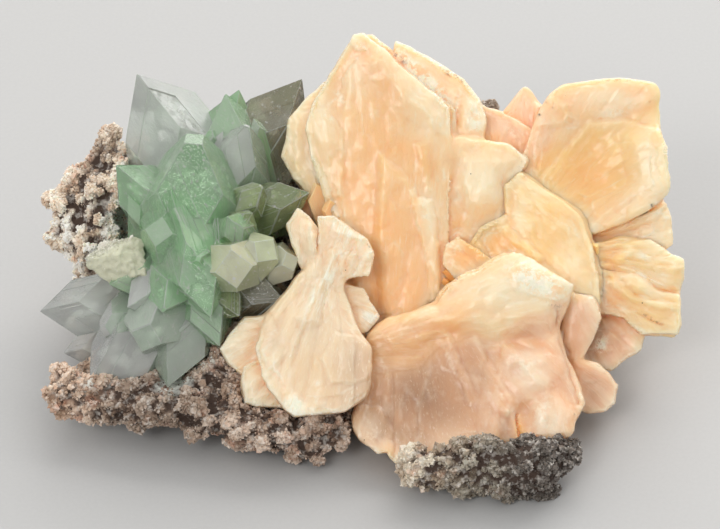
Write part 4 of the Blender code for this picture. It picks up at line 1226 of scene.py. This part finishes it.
def grow_small_blades(settings, material):
    """Small pointed blades in the gaps where the large ones meet."""
    whole = bmesh.new()
    fibre = whole.verts.layers.float_vector.new("fibre")
    body = whole.verts.layers.float_color.new("body")
    for number, blade in enumerate(SMALL_BLADES):
        shape = block(*Vector((2 * blade.half, blade.thickness, blade.length)) * MM)
        for side in (-1, 1):
            cut_back(shape, Vector((side * 0.1 * MM, 0, 0)), Vector((side * 0.7, 0.1, 0.7)).normalized())
        wear_edges(shape, BLADE_EDGE_WIDTH, 2)
        points, _ = add_standing(whole, shape, blade)
        for vert, (x, y, z) in points:
            vert[fibre] = (x + 9 * number, z, y)
            vert[body] = rgba(getattr(settings, blade.tint))
    obj = new_object("small_blades", as_mesh("small_blades", whole))
    stand_for(obj, None, material, "stilbite")


def stand_for(obj, node, material, slot):
    """Puts the piece on the specimen's body in place of the CAD node, with its material."""
    obj.data.materials.clear()
    obj.data.materials.append(material)
    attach(obj, "root")
    if node:
        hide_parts(node)


def turned(across, up, out):
    """A direction on the display face, in the upright frame."""
    lean, rise = math.sin(FACE_LEAN), math.cos(FACE_LEAN)
    return Vector((across, up * lean - out * rise, up * rise + out * lean))


def display(across, up, out):
    """A place on the display face, in the upright frame in metres."""
    nearer = 1 - out / VIEW_DISTANCE
    place = turned(across * nearer, up * nearer, out)
    place.z += FACE_CENTRE_HEIGHT
    return place * MM


def stance(crystal):
    """Where a crystal stands and points, as a matrix."""
    axis = turned(*crystal.axis).normalized()
    viewer = turned(0, 0, 1) if crystal.axis[2] < NEARLY_HEAD_ON else turned(0, 1, 0)
    front = (viewer - axis * viewer.dot(axis)).normalized()
    stand = Matrix((front.cross(axis), front, axis)).transposed().to_4x4()
    roll = Matrix.Rotation(math.radians(crystal.roll), 4, "Z")
    return Matrix.Translation(display(*crystal.tip)) @ stand @ roll


def cut_back(shape, point, normal):
    """Cuts off what lies beyond a plane, and closes the cut."""
    everything = shape.verts[:] + shape.edges[:] + shape.faces[:]
    cut = bmesh.ops.bisect_plane(
        shape, geom=everything, dist=1e-7, plane_co=point, plane_no=normal, clear_outer=True
    )
    rim = [piece for piece in cut["geom_cut"] if isinstance(piece, bmesh.types.BMEdge)]
    bmesh.ops.contextual_create(shape, geom=rim)


def grow_crystal(crystal, dice):
    """A square prism under a pyramid, with growth steps on its faces and narrow worn edges."""
    half = crystal.half * MM
    shape = block(2 * half, 2 * half, crystal.length * MM)
    for quarter in range(4):
        corner = math.radians(45 + 90 * quarter)
        slope = math.sin(PYRAMID_SLOPE)
        normal = Vector((slope * math.cos(corner), slope * math.sin(corner), math.cos(PYRAMID_SLOPE)))
        cut_back(shape, Vector((0, 0, -dice.uniform(0, PYRAMID_SETBACK) * MM)), normal)
    if crystal.blunt:
        cut_back(shape, Vector((0, 0, -crystal.blunt * MM)), Vector((0, 0, 1)))
    wear_edges(shape, EDGE_WIDTH, 1)
    for face in shape.faces[:]:
        wide = face.normal.z > -0.5 and face.calc_area() > (0.8 * half) ** 2
        if wide and crystal.tint != "milky":
            add_steps(shape, face, dice)
    return shape


def add_steps(shape, face, dice):
    """Growth steps: the face is split along its own edges, and some of its parts stand higher."""
    parts = [face]
    for _ in range(dice.randrange(1, 4)):
        part = dice.choice(parts)
        edge = max(dice.sample(part.edges[:], 2), key=lambda side: side.calc_length())
        along = edge.verts[1].co - edge.verts[0].co
        corner = dice.choice(part.verts[:]).co
        spot = part.calc_center_median().lerp(corner, dice.uniform(0, 0.6))
        cut = bmesh.ops.bisect_plane(
            shape, geom=[part, *part.edges, *part.verts], dist=1e-7, plane_co=spot,
            plane_no=along.cross(part.normal),
        )
        parts += [made for made in cut["geom"] if isinstance(made, bmesh.types.BMFace) and made not in parts]
    for part in parts:
        if dice.random() < 0.5:
            step = dice.uniform(*STEP_HEIGHT) * MM
            bmesh.ops.inset_individual(
                shape, faces=[part], thickness=step, depth=step * dice.choice((-1, 1)),
                use_even_offset=True,
            )


def with_companions(crystals, dice):
    """The crystals, and smaller ones that grow nearly parallel out of the sides of the large ones."""
    grown = list(crystals)
    for crystal in crystals:
        if crystal.half < COMPANION_HOST or crystal.tint in ("clear", "smoky"):
            continue
        stand = stance(crystal).to_3x3()
        for _ in range(dice.randrange(2, 6)):
            half = crystal.half * dice.uniform(*COMPANION_SIZE)
            angle = dice.uniform(0, 2 * math.pi)
            side = stand @ Vector((math.cos(angle), math.sin(angle), 0))
            reach = crystal.half * dice.uniform(0.5, 0.95)
            depth = crystal.half * dice.uniform(0.9, 2.2)
            tip = display(*crystal.tip) + (side * reach - stand.col[2] * depth) * MM
            u, v, w = (float(row[0]) for row in on_face(np.array([tip[:]])))
            axis = [part + dice.uniform(-1, 1) * COMPANION_LEAN for part in crystal.axis]
            blunt = dice.choice((0.0, 0.2, 0.6 * half))
            roll = crystal.roll + dice.uniform(-8, 8)
            length = COMPANION_LENGTH * crystal.half
            grown.append(Crystal((u, v, w), axis, half, length, roll, blunt, crystal.tint))
    return grown


def face_outwards(shape):
    """Turns every face of a closed shape outwards."""
    bmesh.ops.recalc_face_normals(shape, faces=shape.faces)
    if shape.calc_volume(signed=True) < 0:
        bmesh.ops.reverse_faces(shape, faces=shape.faces)


def grow_veils(crystal, dice):
    """Thin ragged flakes inside a crystal, each parallel to one of its faces."""
    half, length = crystal.half * MM, crystal.length * MM
    shape = bmesh.new()
    reach = VEILS_REACH * crystal.half
    count = int((2 * crystal.half) ** 2 * reach * VEILS_PER_MM3)
    for _ in range(count):
        size = dice.uniform(*VEIL_SIZE) * half
        corner = math.radians(45 * dice.randrange(8))
        tilt = PYRAMID_SLOPE if dice.random() < 0.6 else math.radians(90)
        depth = dice.uniform(1.3 * half, min(reach * MM, length))
        room = max(0.0, min(half, depth * math.tan(math.radians(90) - PYRAMID_SLOPE)) * 0.7 - 0.6 * size)
        place = Vector((dice.uniform(-room, room), dice.uniform(-room, room), -depth))
        flat = Matrix.Rotation(corner, 4, "Z") @ Matrix.Rotation(tilt, 4, "Y")
        flake = bmesh.ops.create_circle(
            shape, cap_ends=True, segments=7, radius=size, matrix=Matrix.Translation(place) @ flat
        )["verts"]
        for vert in flake:
            vert.co = place + (vert.co - place) * dice.uniform(0.3, 1.0)
    bmesh.ops.solidify(shape, geom=shape.faces[:], thickness=VEIL_THICKNESS * MM)
    return shape


def grow_group(name, grow, crystals, settings, dice):
    """The crystals, or the veils inside them, joined in one object with its tints, which carry painted light
    and shade, and directions.
    """
    whole = bmesh.new()
    fibre = whole.verts.layers.float_vector.new("fibre")
    layers = whole.loops.layers.float_color.new("tint"), whole.loops.layers.float.new("etched")
    for number, crystal in enumerate(crystals):
        points, faces = add_standing(whole, grow(crystal, dice), crystal)
        for vert, (x, y, z) in points:
            vert[fibre] = (x + y * 0.7 + 17 * number, z, x - y)
        paint_faces(faces, layers, getattr(settings, crystal.tint), dice)
    obj = new_object(name, as_mesh(name, whole))
    obj.data.shade_flat()
    return obj


def paint_faces(faces, layers, colour, dice):
    """Gives each side of a crystal its own painted shade, random and lighter as it faces the light, its
    narrow edges a pale painted highlight, and marks etched sides.
    """
    tint, etched = layers
    shades = {}
    towards = Vector(FACE_LIGHT).normalized()
    middles = np.array([face.calc_center_median()[:] for face in faces]).reshape(-1, 3)
    u, v, _ = on_face(middles)
    etching = patch_mask(ETCHED, u, v)
    for face, etch in zip(faces, etching):
        face.normal_update()
        side = tuple(round(part * 6) for part in face.normal)
        # Painted light and shade: each side gets a random shade, and is lighter as it faces the light
        lit = 1 + FACE_LIT * face.normal.dot(towards)
        shade = shades.setdefault(side, dice.uniform(*FACE_SHADES) * lit)
        narrow = face.calc_area() < face.calc_perimeter() * EDGE_WIDTH * MM
        painted = [min(1.0, channel * shade) for channel in colour]
        # Painted highlight: the narrow edges are painted pale
        if narrow:
            painted = [part * EDGE_HIGHLIGHT_SHARE + own * (1 - EDGE_HIGHLIGHT_SHARE) for part, own in zip(EDGE_HIGHLIGHT, colour)]
        marked = etch if etch > LEAST_ETCHED and not narrow else 0.0
        for loop in face.loops:
            loop[tint] = rgba(painted)
            loop[etched] = marked


def crusted_crystal(dice):
    """The coated crystal with its rough crust, and small white crystals over it."""
    obj = new_object("coated_crystal", as_mesh("coated_crystal", copy_of("coated_apophyllite")))
    melt(obj, CRUST_DETAIL * MM, rounds=3)
    mesh = obj.data
    places, normals = read(mesh), read(mesh, "normal")
    rough = waves(places / MM, CRUST_WAVES)
    move_points(mesh, places + normals * (rough * MM)[:, None])
    u, v, _ = on_face(places)
    # The crust is thicker and whiter towards the upper left
    sugared = 0.35 + (v - 2.4) * 0.3 + (-47.0 - u) * 0.16 + rough * 0.5
    keep_values(mesh, shade=np.clip(sugared, 0, 1))
    mesh.shade_smooth()
    stand_for(obj, "coated_apophyllite", coated_material(), "coated_crystal")
    crust = druse("coated_crystal_crust", mesh, CRUST_GRAINS, CRUST_GRAIN_SIZE * MM, CRUST_LIFT * MM, dice)
    stand_for(crust, None, obj.data.materials[0], "coated_crystal")


def pattern(make, **sizes):
    """The points and triangles of a small shape that is repeated many times."""
    shape = bmesh.new()
    make(shape, **sizes)
    bmesh.ops.triangulate(shape, faces=shape.faces)
    points = np.array([vert.co[:] for vert in shape.verts])
    sides = np.array([[vert.index for vert in face.verts] for face in shape.faces])
    shape.free()
    return points, sides


def joined(name, points, sides):
    """One mesh of many copies of a pattern, from the points of each copy."""
    starts = np.arange(len(points)) * points.shape[1]
    made = bpy.data.meshes.new(name)
    made.from_pydata(points.reshape(-1, 3), [], (sides[None] + starts[:, None, None]).reshape(-1, 3))
    return made


def add_clumps(shape, count, dice):
    """Rounded clumps on the rock, wherever nothing else stands on it."""
    taken = surfaces_of([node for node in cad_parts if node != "matrix"])
    faces = shape.faces[:]
    middles, radii = [], []
    for face in dice.choices(faces, [face.calc_area() for face in faces], k=count):
        a, b, c = (vert.co for vert in face.verts[:3])
        first, last = sorted((dice.random(), dice.random()))
        spot = a * first + b * (last - first) + c * (1 - last)
        radius = dice.uniform(*CLUMP_SIZE) * MM
        middle = spot + face.normal * radius * dice.uniform(-0.2, 0.6)
        if taken.find_nearest(middle)[3] > radius + CLUMP_GAP * MM:
            middles.append(middle[:])
            radii.append(radius)
    ball, sides = pattern(bmesh.ops.create_icosphere, subdivisions=2, radius=1.0)
    points = ball[None] * np.array(radii)[:, None, None] + np.array(middles)[:, None, :]
    clumps = joined("clumps", points, sides)
    shape.from_mesh(clumps)
    bpy.data.meshes.remove(clumps)


def rough_rock(settings):
    """The matrix with clumps, knobs and crevices, as an object."""
    shape = copy_of("matrix")
    add_clumps(shape, settings.clumps, random.Random(SEED))
    obj = new_object("matrix_rock", as_mesh("matrix_rock", shape))
    melt(obj, settings.detail, rounds=1)
    mesh = obj.data
    places, normals = read(mesh), read(mesh, "normal")
    knobs = np.array([0.45 - noise.voronoi(Vector(place) / KNOB_SIZE)[0][0] for place in places / MM])
    broad = noise_in(places / MM / 5, 1)
    push = (knobs * 1.3 + broad * 0.9 - 0.1) * MM
    floor = np.clip(places[:, 2] / (2 * MM), 0, 1)
    places = places + normals * (push * floor)[:, None]
    places[:, 2] = np.maximum(places[:, 2], 0.0)
    move_points(mesh, places)
    even = mesh.copy()
    soften(even, np.ones(len(places)), EVEN_ROUNDS)
    standing = ((places - read(even)) * normals).sum(axis=1) / MM
    bpy.data.meshes.remove(even)
    gap = gap_to_surfaces(["apophyllite_cluster"], places)
    # Painted shade and light: darker where the rock lies below its neighbours and lighter where it stands
    # out; painted pale round the green crystals, partly as their bed and partly as painted light
    keep_values(
        mesh, bed=np.clip(1.6 - gap / BED_REACH, 0, 1), shade=np.clip(0.45 + standing * 1.1, 0, 1),
        tint=opaque(zone_tint(places)),
    )
    mesh.shade_smooth()
    return obj


def spots_on(mesh, count, dice):
    """Random places over the mesh, more of them where it stands out, which way it faces there and
    how far it stands out."""
    mesh.calc_loop_triangles()
    corners = np.empty(len(mesh.loop_triangles) * 3, np.int32)
    mesh.loop_triangles.foreach_get("vertices", corners)
    corners = corners.reshape(-1, 3)
    points = read(mesh)
    shade = np.empty(len(points), np.float32)
    mesh.attributes["shade"].data.foreach_get("value", shade)
    raised = shade[corners[:, 0]]
    a, b, c = (points[corners[:, corner]] for corner in range(3))
    cross = np.cross(b - a, c - a)
    area = np.linalg.norm(cross, axis=1)
    weight = area * (0.15 + raised) ** 2
    chosen = dice.choice(len(area), count, p=weight / weight.sum())
    mix = np.sqrt(dice.random(count))[:, None]
    part = dice.random(count)[:, None]
    spots = a[chosen] * (1 - mix) + b[chosen] * mix * (1 - part) + c[chosen] * mix * part
    return spots, cross[chosen] / area[chosen][:, None], raised[chosen]


def turned_to(directions, dice):
    """Turns that point each local z along its direction, with a random roll."""
    helper = dice.normal(size=directions.shape)
    first = np.cross(directions, helper)
    first /= np.linalg.norm(first, axis=1)[:, None]
    second = np.cross(directions, first)
    return np.stack([first, second, directions], axis=2)


def zone_tint(places):
    """The druse's colour at each place, from the zones around it; in the dark zones low on the matrix it is
    partly painted shade.
    """
    u, v, _ = on_face(places)
    pull = np.array([np.exp(-np.hypot(u - across, v - up) / ZONE_BLEND) for across, up, _ in ZONES])
    tints = np.array([tint for _, _, tint in ZONES])
    return np.einsum("zn,zc->nc", pull / pull.sum(axis=0), tints)


def druse(name, mesh, count, size, reach, dice):
    """A crust of small blocky crystals over the mesh, joined in one object."""
    spots, outward, raised = spots_on(mesh, count, dice)
    form, sides = pattern(bmesh.ops.create_uvsphere, u_segments=4, v_segments=2, radius=1.0)
    size = size * dice.lognormal(0.0, 0.35, count) * (0.6 + 0.8 * raised)
    stretch = dice.uniform(0.75, 1.25, (count, 3))
    ragged = form[None] * stretch[:, None, :] * dice.uniform(0.75, 1.2, (count, len(form), 1))
    aim = outward + dice.normal(0, 1.0, (count, 3))
    aim /= np.linalg.norm(aim, axis=1)[:, None]
    lift = reach * raised * dice.uniform(0, 1, count) ** 2
    verts = np.einsum("nij,nkj->nki", turned_to(aim, dice), ragged) * size[:, None, None]
    verts += (spots + outward * lift[:, None])[:, None, :]
    verts[:, :, 2] = np.maximum(verts[:, :, 2], 0.0)
    # Painted light: grains are lighter where the surface under them is lighter and where they stand off it,
    # and lighter towards their outer ends
    shade = np.clip(raised + 0.3 * lift / reach + dice.normal(0, 0.2, count), 0, 1)
    tips = np.clip(shade[:, None] + form[None, :, 2] * 0.1, 0, 1)
    hue = dice.normal(0, 0.07, count)
    tint = np.clip(zone_tint(spots) * (1 + hue[:, None] * (0.4, 0.9, 1.2)), 0, 1)
    made = joined(name, verts, sides)
    keep_values(made, shade=tips, tint=np.repeat(opaque(tint), len(form), axis=0))
    return new_object(name, made)


class SPECIMEN_OT_sheaves(bpy.types.Operator):
    """Dress the stilbite sheaves"""

    bl_idname = "specimen.sheaves"
    bl_label = "Stilbite sheaves"

    def execute(self, context):
        settings = context.scene.sheaf_settings
        silky = {"whiteness": 0.5, "silkiness": 0.8}
        peach = stilbite_material("stilbite", settings, light_reach=3.0, **silky)
        cream = stilbite_material("cream_stilbite", settings, whiteness=0.8, silkiness=1.8, light_reach=2.4)
        small = stilbite_material("small_stilbite", settings, light_reach=0.8, **silky)
        for node in FANS:
            material, slot = (cream, "cream_stilbite") if node == FREE_SHEAF else (peach, "stilbite")
            dress_sheaf(node, settings, material, slot)
        grow_small_blades(settings, small)
        return {"FINISHED"}


class SPECIMEN_OT_crystals(bpy.types.Operator):
    """Dress the green cluster and the coated crystal"""

    bl_idname = "specimen.crystals"
    bl_label = "Apophyllite"

    def execute(self, context):
        settings = context.scene.crystal_settings
        dice = random.Random(SEED)
        bright = [crystal for crystal in APOPHYLLITES if crystal.tint != "milky"]
        cloudy = [crystal for crystal in APOPHYLLITES if crystal.tint == "milky"]
        flawed = [crystal for crystal in APOPHYLLITES if crystal.tint != "smoky"]
        bright = with_companions(bright, dice)
        crystals = grow_group("apophyllite_crystals", grow_crystal, bright, settings, dice)
        glassy = apophyllite_material("apophyllite", settings, clearness=0.7)
        stand_for(crystals, "apophyllite_cluster", glassy, "apophyllite")
        blocks = grow_group("cloudy_crystals", grow_crystal, cloudy, settings, dice)
        dull = apophyllite_material("cloudy_apophyllite", settings, clearness=0.58)
        stand_for(blocks, None, dull, "apophyllite")
        veils = grow_group("crystal_veils", grow_veils, flawed, settings, dice)
        stand_for(veils, None, veil_material(), "apophyllite")
        crusted_crystal(np.random.default_rng(SEED))
        return {"FINISHED"}


class SPECIMEN_OT_matrix(bpy.types.Operator):
    """Dress the matrix with rock and druse"""

    bl_idname = "specimen.matrix"
    bl_label = "Matrix"

    def execute(self, context):
        settings = context.scene.matrix_settings
        rock = rough_rock(settings)
        stand_for(rock, "matrix", rock_material(), "matrix")
        dice = np.random.default_rng(SEED)
        glittering = druse_material()
        for part in range(DRUSE_PIECES):
            crust = druse(
                f"druse_{part + 1}", rock.data, settings.grains // DRUSE_PIECES,
                settings.grain_size, settings.lift, dice,
            )
            stand_for(crust, None, glittering, "matrix")
        return {"FINISHED"}


class SPECIMEN_OT_stage(bpy.types.Operator):
    """Add the floor, the lights, the sky and the camera"""

    bl_idname = "specimen.stage"
    bl_label = "Stage"

    def execute(self, context):
        settings = context.scene.stage_settings
        add_floor(settings)
        add_light("key_light", (0.42, 1.12, 0.82), 1.5, settings.key_power)
        add_light("fill_light", (-0.48, -0.92, 0.90), 0.4, settings.fill_power)
        add_sky(settings)
        add_camera()
        return {"FINISHED"}


def add_floor(settings):
    shape = bmesh.new()
    bmesh.ops.create_grid(shape, x_segments=1, y_segments=1, size=FLOOR_REACH)
    floor = new_object("floor", as_mesh("floor", shape))
    floor.data.materials.append(floor_material(settings))


def add_light(name, place, size, power):
    """A square light at the place, aimed at the specimen."""
    light = bpy.data.lights.new(name, "AREA")
    light.shape = "SQUARE"
    light.size = size
    light.energy = power
    light.color = LAMP_COLOUR
    obj = new_object(name, light)
    obj.location = place
    aim = Vector(LIT_PLACE) - Vector(place)
    obj.rotation_euler = aim.to_track_quat("-Z", "Y").to_euler()


def add_sky(settings):
    """Light from all round, stronger from overhead."""
    world = bpy.data.worlds.new("sky")
    bpy.context.scene.world = world
    world.use_nodes = True
    graph = Graph(world.node_tree)
    back = world.node_tree.nodes["Background"]
    direction = graph.add("TexCoord").outputs["Generated"]
    height = graph.add("SeparateXYZ", {0: direction}).outputs["Z"]
    strength = graph.between(height, 0.0, 0.75, settings.horizon, settings.sky)
    graph.fill(back.inputs, {"Color": (1.0, 0.995, 0.98, 1), "Strength": strength})


def add_camera():
    """The camera faces the display face from the view distance."""
    data = bpy.data.cameras.new("camera")
    data.sensor_width = SENSOR_WIDTH
    data.lens = SENSOR_WIDTH * VIEW_DISTANCE / PHOTO_WIDTH
    data.clip_start = 0.01
    camera = new_object("camera", data)
    outwards = turned(0, 0, 1)
    camera.location = Vector((0, 0, FACE_CENTRE_HEIGHT * MM)) + outwards * VIEW_DISTANCE * MM
    camera.rotation_euler = (-outwards).to_track_quat("-Z", "Y").to_euler()
    bpy.context.scene.camera = camera
    bpy.context.scene.view_settings.view_transform = "Standard"


class SPECIMEN_PT_panel(bpy.types.Panel):
    """Lists the pieces of the specimen"""

    bl_label = "Stilbite specimen"
    bl_idname = "SPECIMEN_PT_panel"
    bl_space_type = "VIEW_3D"
    bl_region_type = "UI"
    bl_category = "Specimen"

    def draw(self, context):
        for operator, settings, _ in PANEL_ROWS:
            box = self.layout.box()
            box.operator(operator.bl_idname)
            group = getattr(context.scene, settings)
            for name in group.bl_rna.properties.keys():
                if name not in ("rna_type", "name"):
                    box.prop(group, name)


PANEL_ROWS = [
    (SPECIMEN_OT_sheaves, "sheaf_settings", SheafSettings),
    (SPECIMEN_OT_crystals, "crystal_settings", CrystalSettings),
    (SPECIMEN_OT_matrix, "matrix_settings", MatrixSettings),
    (SPECIMEN_OT_stage, "stage_settings", StageSettings),
]
OPERATORS, NAMES, GROUPS = zip(*PANEL_ROWS)
CLASSES = [*GROUPS, *OPERATORS, SPECIMEN_PT_panel]


def register():
    for made in CLASSES:
        bpy.utils.register_class(made)
    for name, made in zip(NAMES, GROUPS):
        setattr(bpy.types.Scene, name, PointerProperty(type=made))


def unregister():
    for name in NAMES:
        delattr(bpy.types.Scene, name)
    for made in reversed(CLASSES):
        bpy.utils.unregister_class(made)


def main():
    register()
    bpy.ops.specimen.sheaves()
    bpy.ops.specimen.crystals()
    bpy.ops.specimen.matrix()
    bpy.ops.specimen.stage()
    bpy.context.view_layer.update()


if __name__ == "__main__":
    main()
